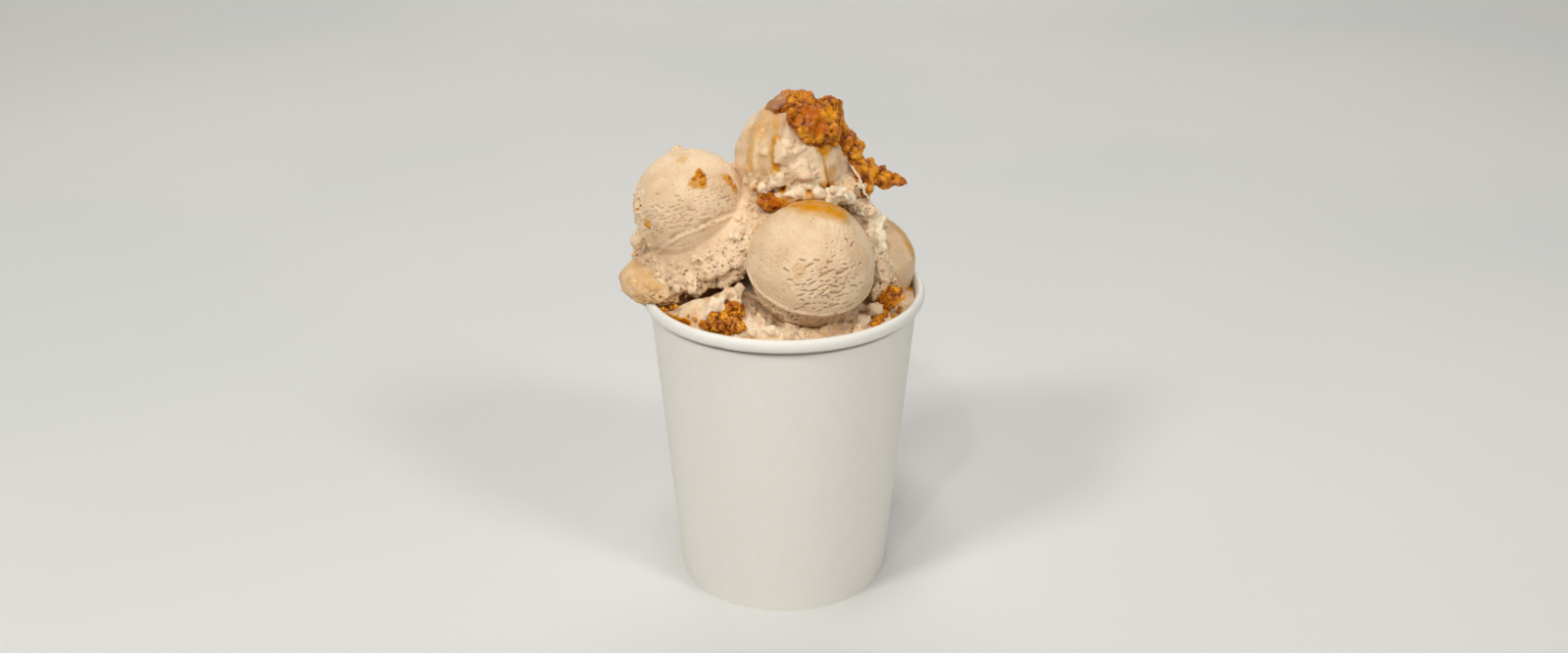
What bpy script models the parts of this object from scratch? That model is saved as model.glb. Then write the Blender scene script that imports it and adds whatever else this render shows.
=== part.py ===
"""A tall paper cup heaped with scoops of gelato, honeycomb toffee and honey.

Metres, +Z up. The cup stands on z = 0. Its own axis is a little to the +X side of
the origin, because the gelato hangs over the rim on the -X side and the origin is
the middle of the whole thing's footprint. Run it in Blender, or with
blender --background --python part.py
"""

import math
from collections import namedtuple

import bmesh
import bpy
from mathutils import Matrix, Vector, noise

MM = 0.001

# The cup: a quart food cup of rolled paperboard.
RIM_RADIUS = 58.5 * MM
CUP_HEIGHT = 132.0 * MM
BASE_RADIUS = 45.5 * MM
WALL = 0.6 * MM
BEAD_WIDTH = 3.8 * MM
BEAD_HEIGHT = 5.5 * MM
WALL_TOP_RADIUS = RIM_RADIUS - 3.1 * MM
BASE_RECESS = 7.0 * MM
BASE_HEM = 1.4 * MM
BASE_DISC = 0.8 * MM
CUP_SEGMENTS = 56
BEAD_STEPS = 9
BEAD_TURN = 1.45 * math.pi
UNDER_BEAD = 0.3 * MM
SMOOTH_BELOW = math.radians(40.0)

# Where the cup's axis stands, so that the origin is under the middle of the whole.
CUP_AXIS_OFFSET = Vector((4.4, 0.0, 0.0)) * MM

# Finishes: linear colour, roughness and subsurface weight.
Finish = namedtuple("Finish", "colour roughness subsurface")
PAPER = Finish((0.80, 0.78, 0.73), 0.55, 0.0)
GELATO = Finish((0.72, 0.52, 0.34), 0.5, 0.2)
TOFFEE = Finish((0.50, 0.20, 0.04), 0.35, 0.0)

# The packed gelato that fills the cup. At the brim its top keeps only a part of its
# lift, and at the back right it dips between these places in X and in Y.
GAP = 0.3 * MM
BED_RINGS = 7
BED_LEVEL = 129.5 * MM
BED_DIP = 2.0 * MM
BED_DIP_X = (18.0 * MM, 52.0 * MM)
BED_DIP_Y = (-35.0 * MM, 0.0)
BRIM_FROM = 0.92
BRIM_LIFT = 0.3
BED_LUMP = 1.4 * MM
BED_LUMP_SIZE = 9.0 * MM

# How far the space that is cut out for the cup reaches, to the side and down.
KEEP_OUT_REACH = 90.0 * MM
KEEP_OUT_LOW = -5.0 * MM

# What heaps the packed gelato up between the scoops, and the hollow in it at the front
# left: its middle, height and spread.
Mound = namedtuple("Mound", "centre height spread")
MOUNDS = (
    Mound(Vector((8.0, 8.0)) * MM, 28.0 * MM, 27.0 * MM),
    Mound(Vector((-23.0, -27.0)) * MM, 9.0 * MM, 15.0 * MM),
    Mound(Vector((-39.0, -33.0)) * MM, 2.2 * MM, 9.0 * MM),
    Mound(Vector((-36.0, -19.0)) * MM, -8.0 * MM, 8.5 * MM),
)

# A scoop: the middle and radius of its ball, the way its dome faces, and in degrees
# from there the end of the dome and the edge of the torn collar under it. Then how far
# that edge stands out, to which side it is widest, how far under the middle the ball
# ends, the squash of the whole in X, Y and Z, and a seed for its lumps.
Scoop = namedtuple(
    "Scoop", "name centre radius dome lip collar flare widest foot squash seed"
)
ROUND = Vector((1.0, 1.0, 1.0))
FACING = Vector((-0.1, -0.97, -0.2))

FRONT = Scoop(
    "front_scoop", Vector((10.4, -27.0, 150.4)) * MM, 25.2 * MM,
    Vector((0.14, -0.42, 0.90)), 91.0, 100.0, -0.8 * MM, FACING, 30.0 * MM, ROUND, 3.0,
)
LEFT = Scoop(
    "left_scoop", Vector((-37.3, -1.0, 165.9)) * MM, 23.2 * MM,
    Vector((-0.50, -0.37, 0.78)), 93.0, 106.5, 12.6 * MM, FACING, 26.0 * MM, ROUND, 11.0,
)
TOP = Scoop(
    "top_scoop", Vector((4.6, 9.0, 182.6)) * MM, 24.2 * MM,
    Vector((-0.25, -0.12, 1.0)), 100.0, 112.0, 4.5 * MM, FACING, 20.0 * MM, ROUND, 23.0,
)
RIGHT = Scoop(
    "right_scoop", Vector((35.0, 10.0, 136.8)) * MM, 20.2 * MM,
    Vector((0.86, 0.22, 0.32)), 66.0, 96.0, 3.5 * MM, FACING, 23.0 * MM, ROUND, 31.0,
)
REAR = Scoop(
    "rear_scoop", Vector((-13.0, 31.0, 144.5)) * MM, 24.0 * MM,
    Vector((-0.1, 0.45, 0.9)), 100.0, 114.0, 4.0 * MM, -FACING, 20.0 * MM, ROUND, 47.0,
)
LOW = Scoop(
    "low_scoop", Vector((-46.0, -4.0, 135.5)) * MM, 20.0 * MM,
    Vector((-0.7, -0.3, 0.6)), 130.0, 140.0, 0.5 * MM, FACING, 26.0 * MM,
    Vector((1.06, 1.0, 0.5)), 59.0,
)
SCOOPS = (FRONT, LEFT, TOP, RIGHT, REAR, LOW)

SCOOP_SEGMENTS = 26
DOME_RINGS = 7
COLLAR_RINGS = 4
FOOT_RINGS = 3
COLLAR_FALL = 14.0
NARROW_FLARE = 0.35

LUMP = 0.35 * MM
LUMP_SIZE = 9.0 * MM
COLLAR_LUMP = 1.3 * MM
COLLAR_LUMP_SIZE = 6.0 * MM
COLLAR_UNEVEN = 0.2

# Over which share of its side a collar widens, and where a scoop's flat foot may start.
WIDENS = (-0.9, -0.1)
FOOT_FROM = 0.05

# Thick honey on a scoop, from one direction from its middle to another.
Honey = namedtuple("Honey", "scoop start end half_width depth")
HONEY = (
    Honey(FRONT, (-0.2, 0.0, 0.98), (0.45, 0.05, 0.89), 6.5 * MM, 1.2 * MM),
    Honey(TOP, (-0.45, -0.3, 0.84), (-0.69, -0.68, 0.1), 3.4 * MM, 0.9 * MM),
    Honey(TOP, (-0.25, -0.5, 0.83), (-0.35, -0.93, -0.1), 3.6 * MM, 1.1 * MM),
    Honey(TOP, (0.42, -0.75, 0.5), (0.5, -0.86, -0.1), 3.2 * MM, 0.9 * MM),
    Honey(RIGHT, (0.35, -0.1, 0.93), (0.86, -0.37, 0.35), 4.5 * MM, 1.0 * MM),
)

# Lumps of softer cream pressed out between the scoops: direction, radius, height.
Blob = namedtuple("Blob", "scoop toward radius height")
BLOBS = (
    Blob(TOP, (-0.1, -0.93, -0.36), 5.0 * MM, 2.6 * MM),
    Blob(TOP, (0.25, -0.9, -0.36), 4.6 * MM, 2.2 * MM),
    Blob(TOP, (0.6, -0.72, -0.36), 5.4 * MM, 3.0 * MM),
    Blob(TOP, (0.9, -0.3, -0.3), 6.0 * MM, 3.6 * MM),
    Blob(TOP, (0.86, -0.2, -0.47), 8.0 * MM, 8.0 * MM),
    Blob(RIGHT, (-0.33, -0.32, 0.89), 7.0 * MM, 8.0 * MM),
    Blob(RIGHT, (-0.05, -0.2, 0.98), 6.0 * MM, 4.0 * MM),
    Blob(RIGHT, (0.06, -0.5, 0.87), 5.0 * MM, 3.4 * MM),
    Blob(RIGHT, (0.13, -0.76, 0.64), 4.5 * MM, 3.2 * MM),
    Blob(RIGHT, (0.2, -0.94, 0.29), 4.5 * MM, 3.0 * MM),
    Blob(LEFT, (-0.9, -0.43, 0.1), 3.4 * MM, 1.0 * MM),
    Blob(LEFT, (-0.25, 0.27, 0.93), 3.0 * MM, 1.0 * MM),
)

# Honeycomb toffee: a broken slab. Its middle and half sizes in millimetres, its turn
# about X, Y and Z in degrees, how narrow its +X end is, its knobs in millimetres, a seed.
# Its chips are flat breaks: the way each one looks, and how far from the middle it is.
Toffee = namedtuple(
    "Toffee", "name centre half_size turn tip knob seed chips", defaults=((),)
)
CROWN_CHIPS = (((-0.72, -0.19, -0.67), 7.2), ((-1.0, -0.1, 0.1), 9.2))
TOFFEES = (
    Toffee(
        "toffee_crown", (10.5, -4.5, 203.0), (14.5, 12.0, 6.0), (42, 10, 12), 0.85, 2.6, 5.0,
        CROWN_CHIPS,
    ),
    Toffee("toffee_crown_left", (0.5, 4.5, 206.0), (6.5, 6.0, 4.0), (10, -22, 20), 1.0, 1.2, 8.0),
    Toffee("toffee_knob", (26.0, 0.0, 191.5), (6.2, 5.2, 4.8), (10, 35, 0), 0.8, 1.4, 13.0),
    Toffee("toffee_shard", (37.5, 4.0, 177.5), (13.5, 7.5, 3.0), (25, 16, -6), 0.35, 1.2, 17.0),
    Toffee("toffee_strip", (31.0, -1.5, 179.0), (3.6, 4.2, 8.5), (0, -14, 0), 1.0, 1.0, 19.0),
    Toffee("toffee_crevice", (-5.0, -16.0, 173.0), (6.0, 4.5, 4.0), (20, 20, 20), 0.7, 1.2, 29.0),
    Toffee("toffee_front", (-22.8, -45.2, 133.8), (8.2, 4.6, 4.4), (20, -4, -24), 0.8, 1.3, 37.0),
    Toffee("toffee_front_back", (-19.0, -38.0, 136.6), (4.0, 3.4, 3.6), (0, 20, 10), 0.9, 0.9, 41.0),
    Toffee("toffee_right", (42.0, -23.5, 134.5), (3.8, 4.2, 9.2), (34, 30, 0), 1.0, 1.1, 43.0),
)
TOFFEE_KNOB_SIZE = 5.0 * MM
TOFFEE_FINE_FROM = 6.0
BOXINESS = 0.45


def clear_scene():
    """Removes every object that the file starts with."""
    for obj in list(bpy.data.objects):
        bpy.data.objects.remove(obj, do_unlink=True)


def new_collection(name):
    """A collection of this name, linked to the scene."""
    collection = bpy.data.collections.new(name)
    bpy.context.scene.collection.children.link(collection)
    return collection


def make_material(name, finish):
    """A Principled material of that finish."""
    material = bpy.data.materials.new(name)
    material.use_nodes = True
    shader = material.node_tree.nodes["Principled BSDF"]
    shader.inputs["Base Color"].default_value = (*finish.colour, 1.0)
    shader.inputs["Roughness"].default_value = finish.roughness
    shader.inputs["Metallic"].default_value = 0.0
    shader.inputs["Subsurface Weight"].default_value = finish.subsurface
    material.diffuse_color = (*finish.colour, 1.0)
    return material


def add_object(name, bm, finish, collection, parent):
    """The bmesh as a named, smooth-shaded object of that finish under its parent."""
    mesh = bpy.data.meshes.new(name)
    bm.to_mesh(mesh)
    bm.free()
    mesh.shade_smooth()
    mesh.set_sharp_from_angle(angle=SMOOTH_BELOW)
    mesh.materials.append(make_material(name + "_finish", finish))
    obj = bpy.data.objects.new(name, mesh)
    collection.objects.link(obj)
    obj.parent = parent
    return obj


def smooth_step(low, high, value):
    """0 below low, 1 above high, and a smooth rise between."""
    share = min(1.0, max(0.0, (value - low) / (high - low)))
    return share * share * (3.0 - 2.0 * share)


def lumps(point, size, seed):
    """Soft noise from -1 to 1, whose bumps are about size across."""
    return noise.noise(point / size + Vector((seed, -seed, 2.0 * seed)))


def wall_radius(z):
    """Radius of the cup's outer wall at a height."""
    share = z / (CUP_HEIGHT - BEAD_HEIGHT)
    return BASE_RADIUS + (WALL_TOP_RADIUS - BASE_RADIUS) * share


def inner_radius(z):
    """Radius of the cup's inner wall at a height, up to the middle of its bead."""
    floor = BASE_RECESS + BASE_DISC
    low = wall_radius(floor) - WALL
    high = RIM_RADIUS - BEAD_WIDTH
    return low + (high - low) * (z - floor) / (CUP_HEIGHT - BEAD_HEIGHT / 2 - floor)


def cup_profile():
    """The cup's half section, from the middle of its floor, over the rim and down."""
    floor = BASE_RECESS + BASE_DISC
    points = [(0.0, floor), (inner_radius(floor), floor)]
    bead_x = RIM_RADIUS - BEAD_WIDTH / 2
    bead_z = CUP_HEIGHT - BEAD_HEIGHT / 2
    for step in range(BEAD_STEPS + 1):
        angle = math.pi - BEAD_TURN * step / BEAD_STEPS
        x = bead_x + BEAD_WIDTH / 2 * math.cos(angle)
        z = bead_z + BEAD_HEIGHT / 2 * math.sin(angle)
        points.append((x, z))
    under_bead = CUP_HEIGHT - BEAD_HEIGHT + UNDER_BEAD
    points.append((wall_radius(under_bead), under_bead))
    points.append((BASE_RADIUS, 0.0))
    points.append((BASE_RADIUS - BASE_HEM, 0.0))
    points.append((BASE_RADIUS - BASE_HEM, BASE_RECESS))
    points.append((0.0, BASE_RECESS))
    return points


def make_cup(collection, parent):
    """The paper cup: a turned shell with a rolled rim and a recessed base."""
    bm = bmesh.new()
    verts = [bm.verts.new((x, 0.0, z)) for x, z in cup_profile()]
    for first, second in zip(verts, verts[1:]):
        bm.edges.new((first, second))
    cup = add_object("paper_cup", bm, PAPER, collection, parent)
    screw = cup.modifiers.new("turn", "SCREW")
    screw.steps = CUP_SEGMENTS
    screw.render_steps = CUP_SEGMENTS
    screw.use_merge_vertices = True
    screw.merge_threshold = 0.01 * MM
    screw.use_smooth_shade = True
    return cup


def cup_keep_out():
    """A turned bmesh of the space that the cup and its gap take, for cutting gelato."""
    bead_x = RIM_RADIUS - BEAD_WIDTH / 2
    bead_z = CUP_HEIGHT - BEAD_HEIGHT / 2
    inner = [(inner_radius(z) - GAP, z) for z in (KEEP_OUT_LOW, bead_z)]
    profile = [(KEEP_OUT_REACH, KEEP_OUT_LOW), inner[0], inner[1]]
    for step in range(1, BEAD_STEPS + 1):
        angle = math.pi - math.pi * step / BEAD_STEPS
        x = bead_x + (BEAD_WIDTH / 2 + GAP) * math.cos(angle)
        z = bead_z + (BEAD_HEIGHT / 2 + GAP) * math.sin(angle)
        profile.append((x, z))
    profile.append((KEEP_OUT_REACH, bead_z))
    bm = bmesh.new()
    verts = [bm.verts.new((x, 0.0, z)) for x, z in profile]
    edges = [bm.edges.new(pair) for pair in zip(verts, verts[1:] + verts[:1])]
    bmesh.ops.spin(
        bm,
        geom=verts + edges,
        cent=(0.0, 0.0, 0.0),
        axis=(0.0, 0.0, 1.0),
        angle=2.0 * math.pi,
        steps=CUP_SEGMENTS,
        use_merge=True,
    )
    bmesh.ops.remove_doubles(bm, verts=bm.verts, dist=0.001 * MM)
    bmesh.ops.recalc_face_normals(bm, faces=bm.faces)
    return bm


def relief(scoop, direction):
    """How far thick honey and cream lumps stand out of a scoop in a direction."""
    height = 0.0
    for run in HONEY:
        if run.scoop is scoop:
            start, end = Vector(run.start).normalized(), Vector(run.end).normalized()
            along = end - start
            share = (direction - start).dot(along) / along.length_squared
            nearest = start + along * min(1.0, max(0.0, share))
            away = (direction - nearest.normalized()).length * scoop.radius
            cover = 1.0 - smooth_step(0.5 * run.half_width, run.half_width, away)
            height = max(height, run.depth * cover)
    for blob in BLOBS:
        if blob.scoop is scoop:
            toward = Vector(blob.toward).normalized()
            away = (direction - toward).length * scoop.radius
            cover = max(0.0, 1.0 - (away / blob.radius) ** 2)
            height = max(height, blob.height * math.sqrt(cover))
    return height


def scoop_reach(scoop, direction):
    """Distance from a scoop's middle to its surface in a direction."""
    dome = scoop.dome.normalized()
    polar = math.degrees(direction.angle(dome))
    point = direction * scoop.radius
    collar = smooth_step(scoop.lip, scoop.collar, polar)
    collar *= 1.0 - smooth_step(scoop.collar, scoop.collar + COLLAR_FALL, polar)
    outward = (direction - dome * direction.dot(dome)).normalized()
    wide = smooth_step(*WIDENS, outward.dot(scoop.widest))
    collar *= NARROW_FLARE + (1.0 - NARROW_FLARE) * wide
    torn = lumps(point, COLLAR_LUMP_SIZE, scoop.seed + 7.0)
    reach = scoop.radius + scoop.flare * collar * (1.0 + COLLAR_UNEVEN * torn)
    reach += LUMP * lumps(point, LUMP_SIZE, scoop.seed)
    reach += COLLAR_LUMP * collar * torn * min(1.0, max(0.0, scoop.flare / COLLAR_LUMP))
    reach += relief(scoop, direction)
    below = -direction.dot(dome)
    if below > FOOT_FROM:
        reach = min(reach, scoop.foot / below)
    return reach


def scoop_stations(scoop):
    """Angles from the dome's middle at which a scoop's mesh has its rings."""
    fall = scoop.collar + COLLAR_FALL
    dome = [scoop.lip * ring / DOME_RINGS for ring in range(DOME_RINGS)]
    collar = [
        scoop.lip + (fall - scoop.lip) * ring / COLLAR_RINGS for ring in range(COLLAR_RINGS)
    ]
    foot = [fall + (180.0 - fall) * ring / FOOT_RINGS for ring in range(FOOT_RINGS + 1)]
    return dome + collar + foot


def ball_bmesh(scoop, grow=0.0):
    """A scoop's whole ball, with every point grow further from its middle."""
    stations = scoop_stations(scoop)
    rings = len(stations) - 1
    turn = Vector((0.0, 0.0, 1.0)).rotation_difference(scoop.dome)
    bm = bmesh.new()
    bmesh.ops.create_uvsphere(bm, u_segments=SCOOP_SEGMENTS, v_segments=rings, radius=1.0)
    bmesh.ops.triangulate(bm, faces=bm.faces, quad_method="FIXED")
    for vert in bm.verts:
        even = math.acos(max(-1.0, min(1.0, vert.co.z))) / math.pi * rings
        ring = min(rings - 1, int(even + 0.01))
        polar = stations[ring] + (stations[ring + 1] - stations[ring]) * (even - ring)
        around = math.atan2(vert.co.y, vert.co.x)
        side = math.sin(math.radians(polar))
        axial = Vector((side * math.cos(around), side * math.sin(around), 0.0))
        axial.z = math.cos(math.radians(polar))
        direction = turn @ axial
        place = direction * scoop_reach(scoop, direction) * scoop.squash
        vert.co = scoop.centre + place + place.normalized() * grow
    return bm


def bed_top(x, y):
    """Height of the packed gelato at a place inside the cup."""
    place = Vector((x, y, 0.0))
    height = BED_LEVEL
    for mound in MOUNDS:
        away = (place.xy - mound.centre).length / mound.spread
        height += mound.height * math.exp(-(away**3))
    height += BED_LUMP * lumps(place, BED_LUMP_SIZE, 71.0)
    height += 0.5 * BED_LUMP * lumps(place, 0.5 * BED_LUMP_SIZE, 73.0)
    dip = smooth_step(*BED_DIP_X, x) * smooth_step(*BED_DIP_Y, y)
    return height - BED_DIP * dip


def bed_bmesh(grow=0.0):
    """The packed gelato: the inside of the cup, with a lumpy top raised by grow."""
    floor = BASE_RECESS + BASE_DISC + GAP
    side = (floor, 0.5 * (floor + BED_LEVEL))
    bm = bmesh.new()
    verts = [bm.verts.new((0.0, 0.0, floor))]
    for z in side:
        verts.append(bm.verts.new((inner_radius(z) - GAP, 0.0, z)))
    brim = inner_radius(BED_LEVEL) - GAP
    for ring in range(BED_RINGS, -1, -1):
        verts.append(bm.verts.new((brim * ring / BED_RINGS, 0.0, BED_LEVEL)))
    edges = [bm.edges.new(pair) for pair in zip(verts, verts[1:])]
    bmesh.ops.spin(
        bm,
        geom=verts + edges,
        cent=(0.0, 0.0, 0.0),
        axis=(0.0, 0.0, 1.0),
        angle=2.0 * math.pi,
        steps=CUP_SEGMENTS,
        use_merge=True,
    )
    bmesh.ops.remove_doubles(bm, verts=bm.verts, dist=0.001 * MM)
    for vert in bm.verts:
        if vert.co.z > BED_LEVEL - 0.01 * MM:
            inside = 1.0 - smooth_step(BRIM_FROM, 1.0, vert.co.xy.length / brim)
            lift = bed_top(vert.co.x, vert.co.y) - BED_LEVEL
            kept = BRIM_LIFT + (1.0 - BRIM_LIFT) * inside if lift > 0.0 else 1.0
            vert.co.z += grow + lift * kept
    bmesh.ops.recalc_face_normals(bm, faces=bm.faces)
    return bm


def toffee_bmesh(toffee, grow=0.0):
    """A broken piece of honeycomb toffee: an uneven slab with bubbly knobs."""
    bm = bmesh.new()
    detail = 3 if max(toffee.half_size) > TOFFEE_FINE_FROM else 2
    bmesh.ops.create_icosphere(bm, subdivisions=detail, radius=1.0)
    turn = Matrix.Identity(3)
    for axis, degrees in zip("XYZ", toffee.turn):
        turn = Matrix.Rotation(math.radians(degrees), 3, axis) @ turn
    half = Vector(toffee.half_size) * MM
    for vert in bm.verts:
        direction = vert.co.normalized()
        boxy = 1.0 / max(abs(part) for part in direction)
        place = direction * (1.0 + BOXINESS * (boxy - 1.0)) * half
        narrow = 1.0 + (toffee.tip - 1.0) * 0.5 * (1.0 + direction.x)
        place.y *= narrow
        place.z *= narrow
        knobs = noise.noise(place / TOFFEE_KNOB_SIZE + Vector((toffee.seed, 0.0, 0.0)))
        place = turn @ (place + direction * (toffee.knob * MM * knobs + grow))
        for facing, reach in toffee.chips:
            facing = Vector(facing).normalized()
            place -= facing * max(0.0, place.dot(facing) - reach * MM - grow)
        vert.co = Vector(toffee.centre) * MM + place
    return bm


def as_cutter(name, bm, collection, parent):
    """The bmesh as a wire-drawn object that only cuts others."""
    mesh = bpy.data.meshes.new(name)
    bm.to_mesh(mesh)
    bm.free()
    cutter = bpy.data.objects.new(name, mesh)
    collection.objects.link(cutter)
    cutter.parent = parent
    cutter.display_type = "WIRE"
    cutter.hide_render = True
    return cutter


def cut_by(obj, cutters):
    """Cuts the cutters out of obj, and drops every loose scrap but its main body."""
    for cutter in cutters:
        modifier = obj.modifiers.new(cutter.name, "BOOLEAN")
        modifier.operation = "DIFFERENCE"
        modifier.solver = "EXACT"
        modifier.object = cutter
    bpy.context.view_layer.update()
    graph = bpy.context.evaluated_depsgraph_get()
    mesh = bpy.data.meshes.new_from_object(obj.evaluated_get(graph))
    bm = bmesh.new()
    bm.from_mesh(mesh)
    bodies = []
    unseen = set(bm.verts)
    while unseen:
        body = set()
        edge_of_body = [unseen.pop()]
        while edge_of_body:
            vert = edge_of_body.pop()
            body.add(vert)
            for edge in vert.link_edges:
                other = edge.other_vert(vert)
                if other in unseen:
                    unseen.remove(other)
                    edge_of_body.append(other)
        bodies.append(body)
    main_body = max(bodies, key=len)
    scraps = [vert for vert in bm.verts if vert not in main_body]
    bmesh.ops.delete(bm, geom=scraps, context="VERTS")
    bm.to_mesh(mesh)
    bm.free()
    obj.modifiers.clear()
    obj.data = mesh


def main():
    """Builds the cup, the gelato and the toffee."""
    clear_scene()
    food = new_collection("gelato_cup")
    helpers = new_collection("cutters")
    axis = bpy.data.objects.new("cup_axis", None)
    axis.location = CUP_AXIS_OFFSET
    food.objects.link(axis)

    make_cup(food, axis)
    bodies = {s.name: add_object(s.name, ball_bmesh(s), GELATO, food, axis) for s in SCOOPS}
    bed = add_object("gelato_bed", bed_bmesh(), GELATO, food, axis)
    grown = {
        s.name: as_cutter(s.name + "_cutter", ball_bmesh(s, GAP), helpers, axis)
        for s in SCOOPS
    }
    keep_out = as_cutter("cup_cutter", cup_keep_out(), helpers, axis)

    # Each scoop is pressed against the ones set down before it.
    order = (FRONT, LEFT, RIGHT, REAR, LOW, TOP)
    for place, scoop in enumerate(order):
        earlier = [grown[other.name] for other in order[:place]]
        cut_by(bodies[scoop.name], earlier + [keep_out])
    cut_by(bed, list(grown.values()) + [keep_out])

    bed_cutter = as_cutter("bed_cutter", bed_bmesh(GAP), helpers, axis)
    earlier_toffees = []
    for piece in TOFFEES:
        obj = add_object(piece.name, toffee_bmesh(piece), TOFFEE, food, axis)
        cut_by(obj, list(grown.values()) + [bed_cutter, keep_out] + earlier_toffees)
        earlier_toffees.append(
            as_cutter(piece.name + "_cutter", toffee_bmesh(piece, GAP), helpers, axis)
        )


main()
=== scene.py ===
"""Looks for a tall paper cup heaped with gelato, honey and honeycomb toffee.

Sizes in the classes are millimetres from the cup's axis, with +Z up and the side that
the camera sees at -Y. A finished mesh is in metres, in the frame of the CAD model.
"""

import logging
import math
from dataclasses import dataclass
from enum import Enum

import bmesh
import bpy
import numpy as np
from mathutils import Matrix, Vector, kdtree, noise


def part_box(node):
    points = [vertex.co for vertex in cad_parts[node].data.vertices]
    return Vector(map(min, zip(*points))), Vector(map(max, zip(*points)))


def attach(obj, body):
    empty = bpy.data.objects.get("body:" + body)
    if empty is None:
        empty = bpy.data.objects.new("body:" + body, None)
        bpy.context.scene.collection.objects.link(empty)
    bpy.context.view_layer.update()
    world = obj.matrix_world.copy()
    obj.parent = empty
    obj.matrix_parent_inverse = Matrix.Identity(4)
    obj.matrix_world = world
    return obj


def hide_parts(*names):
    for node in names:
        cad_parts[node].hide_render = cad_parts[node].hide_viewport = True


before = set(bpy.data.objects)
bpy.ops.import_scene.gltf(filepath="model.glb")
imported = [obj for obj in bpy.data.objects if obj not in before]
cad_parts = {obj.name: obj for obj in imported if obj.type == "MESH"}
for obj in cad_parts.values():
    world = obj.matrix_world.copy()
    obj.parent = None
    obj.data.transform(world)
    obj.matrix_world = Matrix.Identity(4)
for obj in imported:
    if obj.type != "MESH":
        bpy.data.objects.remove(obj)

Place = tuple[float, float, float]
Spot = tuple[float, float, float, float]
Socket = bpy.types.NodeSocket

MM = 0.001
LOG = logging.getLogger("gelato_cup")
CUP_BOX = np.array(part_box("paper_cup"))
# The foot of the cup's axis in the CAD frame, in millimetres.
AXIS = np.array((*CUP_BOX.mean(axis=0)[:2], 0.0)) / MM
BODY = "root"
# The side that the photograph shows, where the collars are widest.
FACING = np.array((-0.1, -0.97, -0.2))

# The cup, in millimetres.
RIM_RADIUS = 58.5
CUP_HEIGHT = 132.0
BASE_RADIUS = 45.5
WALL = 0.6
BEAD_WIDTH = 3.8
BEAD_HEIGHT = 5.5
BEAD_X = RIM_RADIUS - BEAD_WIDTH / 2
BEAD_Z = CUP_HEIGHT - BEAD_HEIGHT / 2
WALL_TOP_RADIUS = RIM_RADIUS - 3.1
BASE_RECESS = 7.0
BASE_HEM = 1.4
BASE_DISC = 0.8
# The room between the cup and its contents.
GAP = 0.3

# Lumps with a larger radius than this have finer faces.
FINE_CRUMB = 1.6
# Pale lumps from this radius up colour what is near them by their own shape.
FAR_CRUMB = 1.8


class Slot(Enum):
    """The names of the three kinds of material."""

    PAPER = "paperboard"
    GELATO = "gelato"
    TOFFEE = "honeycomb_toffee"


def linear(tone: str) -> tuple[float, float, float, float]:
    """Turns an sRGB hex colour into linear light.

    Args:
        tone: The colour as #rrggbb.

    Returns:
        Red, green and blue in linear light, and an alpha of 1.
    """
    parts = [int(tone[place : place + 2], 16) / 255.0 for place in (1, 3, 5)]
    light = [p / 12.92 if p <= 0.04045 else ((p + 0.055) / 1.055) ** 2.4 for p in parts]
    return (*light, 1.0)


def add_node(
    tree: bpy.types.NodeTree, kind: str, settings: dict | None = None
) -> bpy.types.Node:
    """Adds one node to a material, with its settings and links.

    Args:
        tree: The node tree that takes the node.
        kind: Blender's name for the kind of node.
        settings: What each property or input takes, by name or number: a value, or the
            socket that feeds it.

    Returns:
        The new node.
    """
    node = tree.nodes.new(kind)
    for name, value in (settings or {}).items():
        if isinstance(value, Socket):
            tree.links.new(value, node.inputs[name])
        elif isinstance(name, str) and hasattr(node, name):
            setattr(node, name, value)
        else:
            node.inputs[name].default_value = value
    return node


def unit(vector: tuple | np.ndarray) -> np.ndarray:
    """Returns the vector, or each row of an array of them, at length 1."""
    array = np.asarray(vector, dtype=float)
    return array / np.maximum(np.linalg.norm(array, axis=-1, keepdims=True), 1e-9)


def smooth_step(low: float, high: float, value: np.ndarray) -> np.ndarray:
    """Rises smoothly from 0 at low to 1 at high.

    Args:
        low: Where the rise starts.
        high: Where it ends.
        value: What is compared with them.

    Returns:
        The share of the rise at each value.
    """
    share = np.clip((value - low) / (high - low), 0.0, 1.0)
    return share * share * (3.0 - 2.0 * share)


def lumps(points: np.ndarray, size: float, seed: float) -> np.ndarray:
    """Soft noise from about -1 to 1.

    Args:
        points: Places in millimetres, one a row.
        size: How wide its bumps are, in millimetres.
        seed: Moves the noise, so that two pieces differ.

    Returns:
        The noise at each point.
    """
    shifted = points / size + np.array((seed, -seed, 2.0 * seed))
    return np.array([noise.noise(place) for place in shifted.tolist()])


def cells(points: np.ndarray, size: float, seed: float) -> np.ndarray:
    """Distances to scattered centres, for bubbles and pores.

    Args:
        points: Places in millimetres, one a row.
        size: How far apart the centres are, in millimetres.
        seed: Moves the centres.

    Returns:
        The distance to the nearest centre, over size.
    """
    shifted = points / size + np.array((seed, -seed, 2.0 * seed))
    return np.array([noise.voronoi(place)[0][0] for place in shifted.tolist()])


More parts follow.
